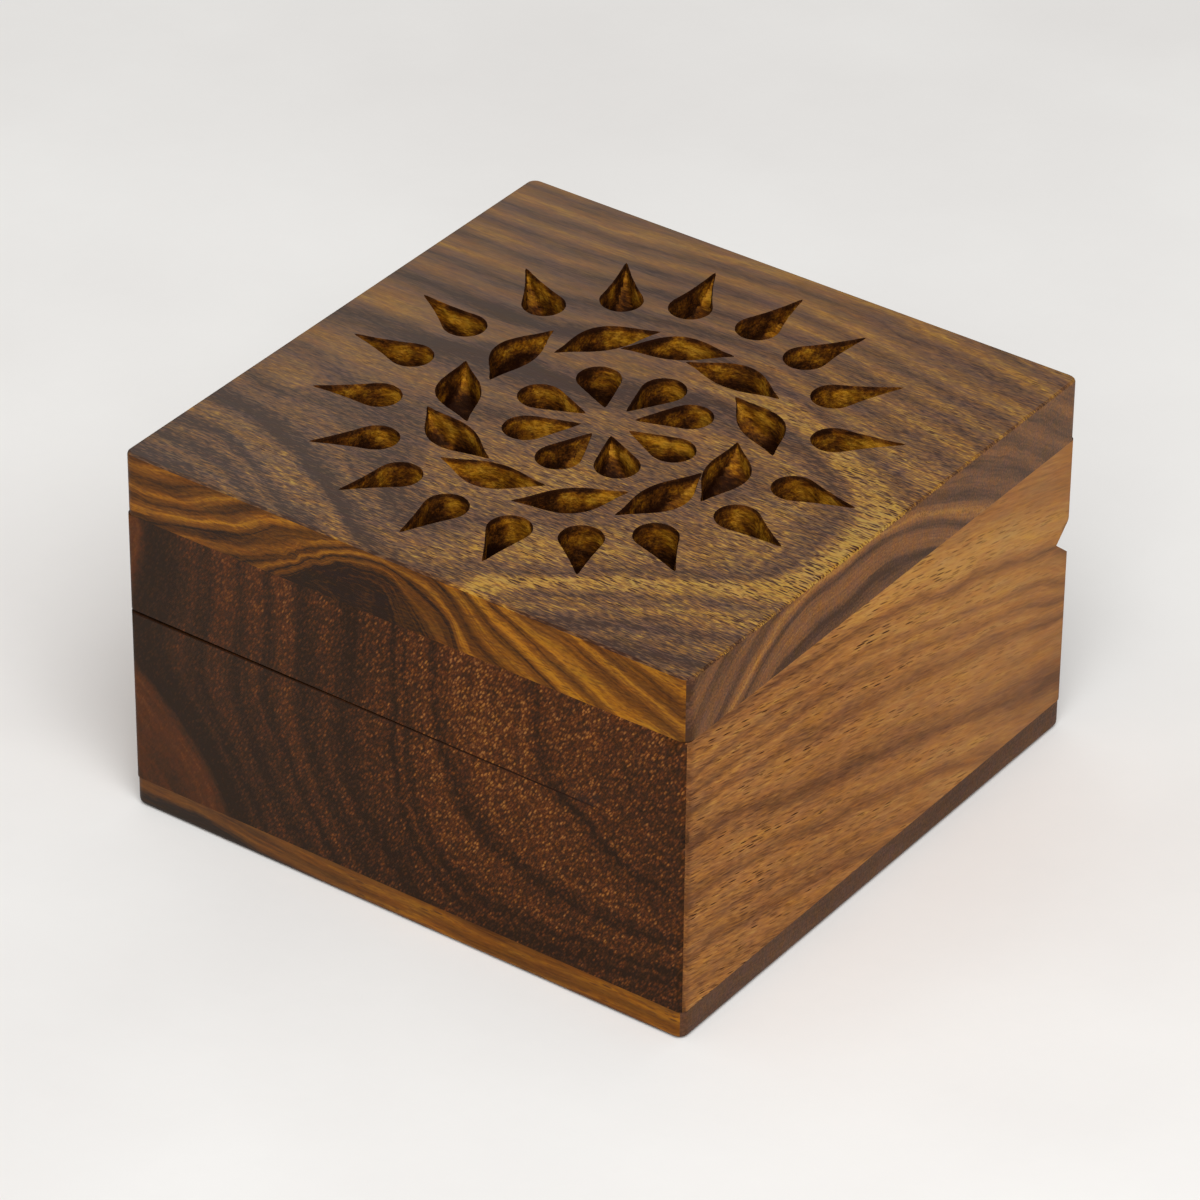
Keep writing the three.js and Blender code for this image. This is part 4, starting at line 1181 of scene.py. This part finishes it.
class Hole:
    """One pierced opening: the outline at the surface, and the drilled hole under its widest part."""

    # Points nearer than CLOSE are one, STEP is the new spacing, and a turn beyond SHARP is a tip.
    CLOSE = 0.2
    STEP = 0.45
    SHARP = math.radians(60)
    # The steps in which the widest place is looked for, and the play that its circle keeps.
    SEARCH = (1.6, 0.6, 0.2, 0.06)
    PLAY = 0.04
    # How deep the pared tips reach, least and most, and how evenly they run in.
    RAMPS = (4.6, 8.2)
    RAMP_CURVE = 1.25
    # How far the rim opens out, and down to which depth.
    FLARE = 0.18
    FLARE_DEPTH = 0.35
    # Each set of knife marks: how closely they follow around and down the wall, and how far they push it.
    KNIFE = ((1.9, 0.35, 0.14), (5, 0.8, 0.06))
    # The marks are calm near a tip and at the rim, and weaker on a pared wall.
    TIP_CALM = 2.5
    RIM_CALM = 1.5
    RIM_MARKS = 0.35
    PARED_MARKS = 0.4

    def __init__(self, outline: np.ndarray, chance: random.Random) -> None:
        """Smooths the outline and finds where the drill went in.

        Args:
            outline: the corners of the opening, in order, in millimetres.
            chance: where its irregularities come from.
        """
        tips, self.outline = self.redraw(outline)
        self.centre, self.radius = self.widest()
        arms = self.outline - self.centre
        self.lengths = np.linalg.norm(arms, axis=1)
        self.reach = float(self.lengths.max())
        ahead = np.roll(self.outline, -1, axis=0) - np.roll(self.outline, 1, axis=0)
        self.out = np.column_stack((ahead[:, 1], -ahead[:, 0])) / np.linalg.norm(ahead, axis=1)[:, None]
        self.bearings = np.unwrap(np.arctan2(arms[:, 1], arms[:, 0]))
        if self.bearings[-1] < self.bearings[0]:
            self.bearings, self.out = -np.sort(-self.bearings), -self.out
        else:
            self.bearings = np.sort(self.bearings)
        gaps = np.min([np.linalg.norm(self.outline - tip, axis=1) for tip in tips], axis=0)
        self.slack = np.clip(gaps / self.TIP_CALM, 0, 1)
        lead = arms[int(self.lengths.argmax())]
        ahead_ramp, back_ramp = chance.uniform(*self.RAMPS), chance.uniform(*self.RAMPS)
        self.ramps = np.where(arms @ lead > 0, ahead_ramp, back_ramp)
        self.seed = chance.uniform(0, 100)

    @classmethod
    def redraw(cls, corners: np.ndarray) -> tuple[np.ndarray, np.ndarray]:
        """Draws the outline again as smooth curves between its sharp tips.

        Args:
            corners: the corners of the opening, in order.

        Returns:
            The sharp tips, and the new points.
        """
        kept = [corners[0]]
        for point in corners[1:]:
            if math.dist(point, kept[-1]) > cls.CLOSE:
                kept.append(point)
        if math.dist(kept[0], kept[-1]) <= cls.CLOSE:
            kept.pop()
        points = np.array(kept)
        before = points - np.roll(points, 1, axis=0)
        after = np.roll(points, -1, axis=0) - points
        cross = before[:, 0] * after[:, 1] - before[:, 1] * after[:, 0]
        sharp = np.abs(np.arctan2(cross, (before * after).sum(axis=1))) > cls.SHARP
        tangent = before / np.linalg.norm(before, axis=1)[:, None]
        tangent = tangent + after / np.linalg.norm(after, axis=1)[:, None]
        tangent /= np.linalg.norm(tangent, axis=1)[:, None]
        drawn: list[np.ndarray] = []
        for i in range(len(points)):
            j = (i + 1) % len(points)
            span = np.linalg.norm(after[i])
            straight = after[i] / span
            out = straight if sharp[i] else tangent[i]
            into = straight if sharp[j] else tangent[j]
            steps = max(1, round(span / cls.STEP))
            for t in np.arange(steps) / steps:
                a, b = 2 * t**3 - 3 * t**2 + 1, t**3 - 2 * t**2 + t
                c, d = -2 * t**3 + 3 * t**2, t**3 - t**2
                drawn.append(a * points[i] + b * span * out + c * points[j] + d * span * into)
        return points[sharp], np.array(drawn)

    def clearance(self, place: np.ndarray) -> float:
        """Returns how far a place inside lies from the outline, or less than zero outside it."""
        start = self.outline
        step = np.roll(start, -1, axis=0) - start
        along = np.clip(((place - start) * step).sum(axis=1) / (step**2).sum(axis=1), 0, 1)
        nearest = np.linalg.norm(start + step * along[:, None] - place, axis=1).min()
        crossing = (start[:, 1] > place[1]) != (np.roll(start, -1, axis=0)[:, 1] > place[1])
        with np.errstate(divide="ignore", invalid="ignore"):
            at = start[:, 0] + (place[1] - start[:, 1]) / step[:, 1] * step[:, 0]
        inside = bool((crossing & (at > place[0])).sum() % 2)
        return nearest if inside else -nearest

    def widest(self) -> tuple[np.ndarray, float]:
        """Returns the middle and the radius of the largest circle that fits in the outline."""
        best = self.outline.mean(axis=0)
        for step in self.SEARCH:
            moves = [best + np.array((i, j)) * step for i in range(-4, 5) for j in range(-4, 5)]
            best = max(moves, key=self.clearance)
        return best, self.clearance(best) - self.PLAY

    def stray(self, spot: np.ndarray, depth: float) -> float:
        """Returns how far the knife strayed outwards at a place and a depth, in millimetres."""
        strayed = 0.0
        for around, down, force in self.KNIFE:
            place = Vector((spot[0] * around, spot[1] * around, depth * down + self.seed))
            strayed += force * noise.noise(place)
        return strayed

    def section(self, depth: float) -> list[Flat]:
        """Returns the opening's outline at a depth below the surface.

        Args:
            depth: the depth in millimetres.

        Returns:
            As many points as the outline has: at the surface they open out a little, and below it the
            pared tips run in to the drilled hole.
        """
        below = max(0.0, depth)
        share = np.clip(below / self.ramps, 0, 1) ** self.RAMP_CURVE
        limits = np.maximum(self.reach + (self.radius - self.reach) * share, self.radius)
        way = np.column_stack((np.cos(self.bearings), np.sin(self.bearings)))
        pared = self.lengths > limits
        spots = np.where(pared[:, None], self.centre + way * limits[:, None], self.outline)
        out = np.where(pared[:, None], way * self.PARED_MARKS, self.out)
        flare = self.FLARE * max(0.0, 1 - below / self.FLARE_DEPTH)
        places: list[Flat] = []
        for spot, step, slack in zip(spots, out, self.slack):
            loose = float(slack) * max(self.RIM_MARKS, min(1.0, below / self.RIM_CALM))
            push = flare + loose * self.stray(spot, depth)
            places.append((float(spot[0] + step[0] * push), float(spot[1] + step[1] * push)))
        return places


@dataclass
class PiercedPanel:
    """The thick board on the lid, its fibres from left to right, pierced with drops, leaves and petals.

    The openings are cut by hand: each is a little longer than it was drawn, and the ring of drops has
    slipped.
    """

    corner_radius: float = 1.6
    arris: float = 0.5
    grid: float = 2.0
    stretch: float = 1.04
    ring: float = 28.0
    slip: Flat = (0.3, 0.5)
    skew: Flat = (0.02, 0.012)
    levels: tuple[float, ...] = (-0.5, 0, 0.15, 0.4, 1, 1.8, 2.7, 3.6, 4.5, 5.4, 6.3, 7.2, 8.2, 9.4, 11.3)
    seed: int = 7

    def outlines(self, node: bpy.types.Object) -> list[np.ndarray]:
        """Reads the outlines of the openings off the CAD node's upper face.

        Args:
            node: the CAD node of the panel.

        Returns:
            The corners of each opening, in order, in millimetres.
        """
        shape = bmesh.new()
        shape.from_mesh(node.data)
        bmesh.ops.remove_doubles(shape, verts=shape.verts, dist=SAME_PLACE)
        top = max(v.co.z for v in shape.verts)
        rim = {e for e in shape.edges if all(abs(v.co.z - top) < SAME_PLACE for v in e.verts)
               and sum(f.normal.z > 0.9 for f in e.link_faces) == 1}
        loops: list[np.ndarray] = []
        while rim:
            edge = rim.pop()
            first, here = edge.verts
            points = [first.co.copy()]
            while here != first:
                points.append(here.co.copy())
                edge = next(e for e in here.link_edges if e in rim)
                rim.discard(edge)
                here = edge.other_vert(here)
            loops.append(self.from_tip(np.array([(p.x / MM, p.y / MM) for p in points])))
        shape.free()
        loops.sort(key=lambda loop: (float(np.ptp(loop[:, 0])), *loop.mean(axis=0)))
        return loops[:-1]

    @staticmethod
    def from_tip(loop: np.ndarray) -> np.ndarray:
        """Puts the corners of a loop in an order that doesn't depend on how it was walked.

        Args:
            loop: the corners, from any of them on and either way round.

        Returns:
            The same corners counterclockwise, from the one that lies furthest out.
        """
        loop = np.roll(loop, -int(np.lexsort((loop[:, 1], loop[:, 0]))[0]), axis=0)
        ahead, behind = loop[1] - loop[0], loop[-1] - loop[0]
        if ahead[0] * behind[1] < ahead[1] * behind[0]:
            loop = np.roll(loop[::-1], 1, axis=0)
        tip = np.linalg.norm(loop - loop.mean(axis=0), axis=1).argmax()
        return np.roll(loop, -int(tip), axis=0)

    def as_cut(self, loop: np.ndarray) -> np.ndarray:
        """Moves and stretches a drawn opening to where the hand cut it.

        Args:
            loop: the corners of the opening as it was drawn, in millimetres.

        Returns:
            Its corners as it was cut.
        """
        centre = loop.mean(axis=0)
        arms = loop - centre
        lead = arms[np.linalg.norm(arms, axis=1).argmax()]
        lead = lead / np.linalg.norm(lead)
        arms = arms + np.outer(arms @ lead, lead) * (self.stretch - 1)
        if np.linalg.norm(centre) > self.ring:
            centre = centre + np.array(self.slip) + np.array(self.skew) * centre[1]
        return centre + arms

    def board(self, low: Vector, high: Vector) -> bmesh.types.BMesh:
        """Makes the plain board with rounded upright corners and a softened top.

        Args:
            low: its lowest corner.
            high: its highest corner.

        Returns:
            The board's shape.
        """
        shape = plank(low, high, self.corner_radius)
        soften(shape, high.z, self.arris, segments=3)
        slice_up(shape, self.grid)
        return shape

    def cutter(self, holes: Sequence[Hole], top: float) -> bmesh.types.BMesh:
        """Makes the solid that is taken out of the board.

        Args:
            holes: the openings.
            top: the height of the board's upper face, in millimetres.

        Returns:
            The cutter's shape, one closed solid for each opening.
        """
        shape = bmesh.new()
        place = shape.verts.layers.int.new("place")
        start = 0
        for hole in holes:
            made = bmesh.ops.create_circle(shape, cap_ends=True, segments=len(hole.outline), radius=MM)
            for index, vert in enumerate(made["verts"]):
                vert[place] = start + index
            start += len(hole.outline)
        verts, edges = shape.verts[:], shape.edges[:]
        for number, depth in enumerate(self.levels):
            if number:
                grown = bmesh.ops.extrude_edge_only(shape, edges=edges)["geom"]
                verts = [g for g in grown if isinstance(g, bmesh.types.BMVert)]
                edges = [g for g in grown if isinstance(g, bmesh.types.BMEdge)]
            spots = [spot for hole in holes for spot in hole.section(depth)]
            for vert in verts:
                x, y = spots[vert[place]]
                vert.co = Vector((x, y, top - depth)) * MM
        bmesh.ops.edgeloop_fill(shape, edges=edges)
        bmesh.ops.recalc_face_normals(shape, faces=shape.faces)
        return shape

    def pierce(self, board: bpy.types.Object, tool: bpy.types.Object) -> None:
        """Takes the cutter out of the board.

        Args:
            board: the plain board, which is pierced after this.
            tool: the cutter, which is used up.
        """
        cut = board.modifiers.new("pierce", "BOOLEAN")
        cut.operation = "DIFFERENCE"
        cut.solver = "MANIFOLD"
        cut.object = tool
        bpy.context.view_layer.update()
        result = bpy.data.meshes.new_from_object(board.evaluated_get(bpy.context.evaluated_depsgraph_get()))
        board.modifiers.clear()
        board.data = result
        bpy.data.objects.remove(tool)
        result.materials.clear()
        result.shade_smooth()
        result.set_sharp_from_angle(angle=math.radians(CORNER))

    def build(self, frame: dict, shop: Shop) -> bpy.types.Object:
        """Makes the panel and dresses it.

        Args:
            frame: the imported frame.
            shop: where the materials come from.

        Returns:
            The panel.
        """
        low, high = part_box("top_panel")
        chance = random.Random(self.seed)
        holes = [Hole(self.as_cut(loop), chance) for loop in self.outlines(frame["nodes"]["top_panel"])]
        log.info("panel: %d openings", len(holes))
        board = finished("pierced_panel", self.board(low, high))
        self.pierce(board, finished("panel_cutter", self.cutter(holes, high.z / MM)))
        top = Coat(PANEL_TOP, TOP_FIGURE, TOP_GLOW)
        arris = Coat(PANEL_ARRIS, TOP_FIGURE, TOP_GLOW)
        edge = Coat(PANEL_EDGE, EDGE_FIGURE, EDGE_GLOW)
        end = Coat(PANEL_END, END_FIGURE)
        wall = Coat(CutFinish(), TOP_FIGURE)
        rim, floor = high.z / MM, low.z / MM

        def choose(middle: Vector, normal: Vector) -> Coat:
            """Returns the coat of a face, from its middle and its normal."""
            side = Side.of(normal)
            outer = max(abs(middle.x), abs(middle.y)) > HALF - self.corner_radius
            if side is Side.TOP and middle.z > rim - SAME_HEIGHT:
                return top
            if side is Side.TOP and outer:
                return arris
            if side is Side.UNDER and middle.z < floor + SAME_HEIGHT:
                return top
            if not outer:
                return wall
            return edge if side in (Side.FRONT, Side.BACK) else end

        dress(board, shop, choose)
        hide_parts("top_panel")
        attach(board, "lid")
        return board


@dataclass
class HollowBlock:
    """A hollowed block of the box: end grain in front and behind, long grain at the sides.

    Faces further in than its skin belong to the cavity.
    """

    node: str
    body: str
    grid: float = 3.0
    skin: float = 5.0

    def build(self, frame: dict, shop: Shop) -> bpy.types.Object:
        """Makes the block from the CAD node's shape and dresses it.

        Args:
            frame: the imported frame.
            shop: where the materials come from.

        Returns:
            The block.
        """
        shape = merged_copy(frame["nodes"][self.node])
        slice_up(shape, self.grid)
        block = finished(f"{self.node}_wood", shape)
        end = Coat(BLOCK_END, BLOCK_FRONT_FIGURE, BLOCK_FRONT_GLOW)
        long = Coat(BLOCK_LONG, BLOCK_RIGHT_FIGURE, BLOCK_RIGHT_GLOW)
        # The rims wear the darker rim finish, partly painted shade of the gap between lid and base.
        rim = Coat(BLOCK_RIM_SHADED, TOP_FIGURE)
        inside = Coat(BLOCK_INSIDE, BLOCK_RIGHT_FIGURE, inward=0.1)

        def choose(middle: Vector, normal: Vector) -> Coat:
            """Returns the coat of a face, from its middle and its normal."""
            side = Side.of(normal)
            if side in (Side.TOP, Side.UNDER):
                return rim
            if max(abs(middle.x), abs(middle.y)) < HALF - self.skin:
                return inside
            return end if side in (Side.FRONT, Side.BACK) else long

        dress(block, shop, choose)
        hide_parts(self.node)
        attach(block, self.body)
        return block


@dataclass
class BottomBoard:
    """The thin board under the base, its fibres from left to right, worn round at its lower edge."""

    corner_radius: float = 1.6
    lower_arris: float = 1.0
    grid: float = 3.0

    def build(self, frame: dict, shop: Shop) -> bpy.types.Object:
        """Makes the board and dresses it.

        Args:
            frame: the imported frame.
            shop: where the materials come from.

        Returns:
            The board.
        """
        low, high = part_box("bottom_panel")
        shape = plank(low, high, self.corner_radius)
        soften(shape, low.z, self.lower_arris, segments=4)
        slice_up(shape, self.grid)
        board = finished("bottom_board", shape)
        face = Coat(BLOCK_INSIDE, TOP_FIGURE)
        edge = Coat(BOTTOM_EDGE, BOTTOM_FIGURE, BOTTOM_GLOW)
        end = Coat(BOTTOM_END, BOTTOM_FIGURE)

        def choose(middle: Vector, normal: Vector) -> Coat:
            """Returns the coat of a face, from its middle and its normal."""
            side = Side.of(normal)
            if side in (Side.TOP, Side.UNDER):
                return face
            return edge if side in (Side.FRONT, Side.BACK) else end

        dress(board, shop, choose)
        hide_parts("bottom_panel")
        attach(board, "base")
        return board


@dataclass
class Hinges:
    """The two brass butt hinges with their pins and screws, as the CAD model has them."""

    softening: float = 0.06

    def build(self, frame: dict, shop: Shop) -> list[bpy.types.Object]:
        """Makes every brass piece again with soft edges and dresses it.

        Args:
            frame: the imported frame.
            shop: where the materials come from.

        Returns:
            The brass pieces.
        """
        made: list[bpy.types.Object] = []
        for name, node in sorted(frame["nodes"].items()):
            if "_hinge_" not in name:
                continue
            body = node["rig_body"]
            piece = finished(f"{name}_brass", merged_copy(node), corner=30)
            soft = piece.modifiers.new("soft_edges", "BEVEL")
            soft.width = self.softening * MM
            soft.segments = 2
            soft.limit_method = "ANGLE"
            soft.angle_limit = math.radians(40)
            piece.data.materials.append(shop.material(BrassFinish()))
            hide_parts(name)
            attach(piece, body)
            made.append(piece)
        return made


@dataclass
class Studio:
    """The camera at the photograph's angle, soft daylight and a plain pale floor."""

    bearing: float = 35.51
    elevation: float = 33.217
    roll: float = 0.557
    distance: float = 982.16
    focal_length: float = 194.976
    sensor_width: float = 36.0
    sight: float = 20.0
    target: tuple[float, float, float] = (0.88, -2.332, 31.5)
    sky: float = 0.52
    backdrop: float = 0.86
    lamp_bearing: float = 42.0
    lamp_elevation: float = 54.0
    lamp_distance: float = 1.5
    lamp_size: float = 1.1
    lamp_power: float = 19.5
    floor_size: float = 3.0

    @staticmethod
    def heading(bearing: float, elevation: float) -> Vector:
        """Returns the direction from the box towards a bearing, from the front to the right, and a height."""
        turn, lift = math.radians(bearing), math.radians(elevation)
        return Vector((math.sin(turn) * math.cos(lift), -math.cos(turn) * math.cos(lift), math.sin(lift)))

    def camera(self) -> bpy.types.Object:
        """Sets up the camera and makes it the scene's own.

        Returns:
            The camera.
        """
        back = self.heading(self.bearing, self.elevation)
        across = (-back).cross(Vector((0, 0, 1))).normalized()
        up = across.cross(-back)
        tilt = math.radians(self.roll)
        right = across * math.cos(tilt) + up * math.sin(tilt)
        upward = up * math.cos(tilt) - across * math.sin(tilt)
        lens = bpy.data.cameras.new("camera")
        lens.sensor_fit = "HORIZONTAL"
        lens.sensor_width = self.sensor_width
        lens.lens = self.focal_length
        lens.clip_end = self.sight
        camera = bpy.data.objects.new("camera", lens)
        turned = Matrix((right, upward, back)).transposed().to_4x4()
        spot = (Vector(self.target) + back * self.distance) * MM
        camera.matrix_world = Matrix.Translation(spot) @ turned
        bpy.context.scene.collection.objects.link(camera)
        bpy.context.scene.camera = camera
        return camera

    def lamp(self) -> bpy.types.Object:
        """Hangs a large soft lamp that faces the box.

        Returns:
            The lamp.
        """
        data = bpy.data.lights.new("key", "AREA")
        data.size = self.lamp_size
        data.energy = self.lamp_power
        lamp = bpy.data.objects.new("key", data)
        way = self.heading(self.lamp_bearing, self.lamp_elevation)
        lamp.location = way * self.lamp_distance
        lamp.rotation_euler = way.to_track_quat("Z", "Y").to_euler()
        bpy.context.scene.collection.objects.link(lamp)
        return lamp

    def daylight(self) -> None:
        """Lights the scene from all round, with a pale backdrop where the camera sees past the floor."""
        world = bpy.data.worlds.new("daylight")
        bpy.context.scene.world = world
        world.use_nodes = True
        nodes, links = world.node_tree.nodes, world.node_tree.links
        nodes.clear()
        output = nodes.new("ShaderNodeOutputWorld")
        mixer = nodes.new("ShaderNodeMixShader")
        rays = nodes.new("ShaderNodeLightPath")
        for slot, strength in ((1, self.sky), (2, self.backdrop)):
            glow = nodes.new("ShaderNodeBackground")
            glow.inputs["Color"].default_value = Tone.LIME.linear()
            glow.inputs["Strength"].default_value = strength
            links.new(glow.outputs[0], mixer.inputs[slot])
        links.new(rays.outputs["Is Camera Ray"], mixer.inputs[0])
        links.new(mixer.outputs[0], output.inputs[0])

    def floor(self, shop: Shop) -> bpy.types.Object:
        """Lays the floor.

        Args:
            shop: where the material comes from.

        Returns:
            The floor.
        """
        shape = bmesh.new()
        bmesh.ops.create_grid(shape, x_segments=8, y_segments=8, size=self.floor_size)
        floor = finished("floor", shape)
        floor.data.materials.append(shop.material(FloorFinish()))
        return floor

    def build(self, shop: Shop) -> None:
        """Sets up the camera, the lamp, the daylight and the floor.

        Args:
            shop: where the materials come from.
        """
        self.camera()
        self.lamp()
        self.daylight()
        self.floor(shop)


def main() -> None:
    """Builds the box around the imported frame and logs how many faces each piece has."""
    logging.basicConfig(level=logging.INFO, format="%(name)s: %(message)s")
    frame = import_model()
    bpy.context.scene.view_settings.view_transform = "Standard"
    shop = Shop()
    Studio().build(shop)
    pieces = [
        PiercedPanel().build(frame, shop),
        HollowBlock("lid_frame", "lid").build(frame, shop),
        HollowBlock("base_frame", "base").build(frame, shop),
        BottomBoard().build(frame, shop),
        *Hinges().build(frame, shop),
    ]
    for piece in pieces:
        log.info("%s: %d faces", piece.name, len(piece.data.polygons))


if __name__ == "__main__":
    main()
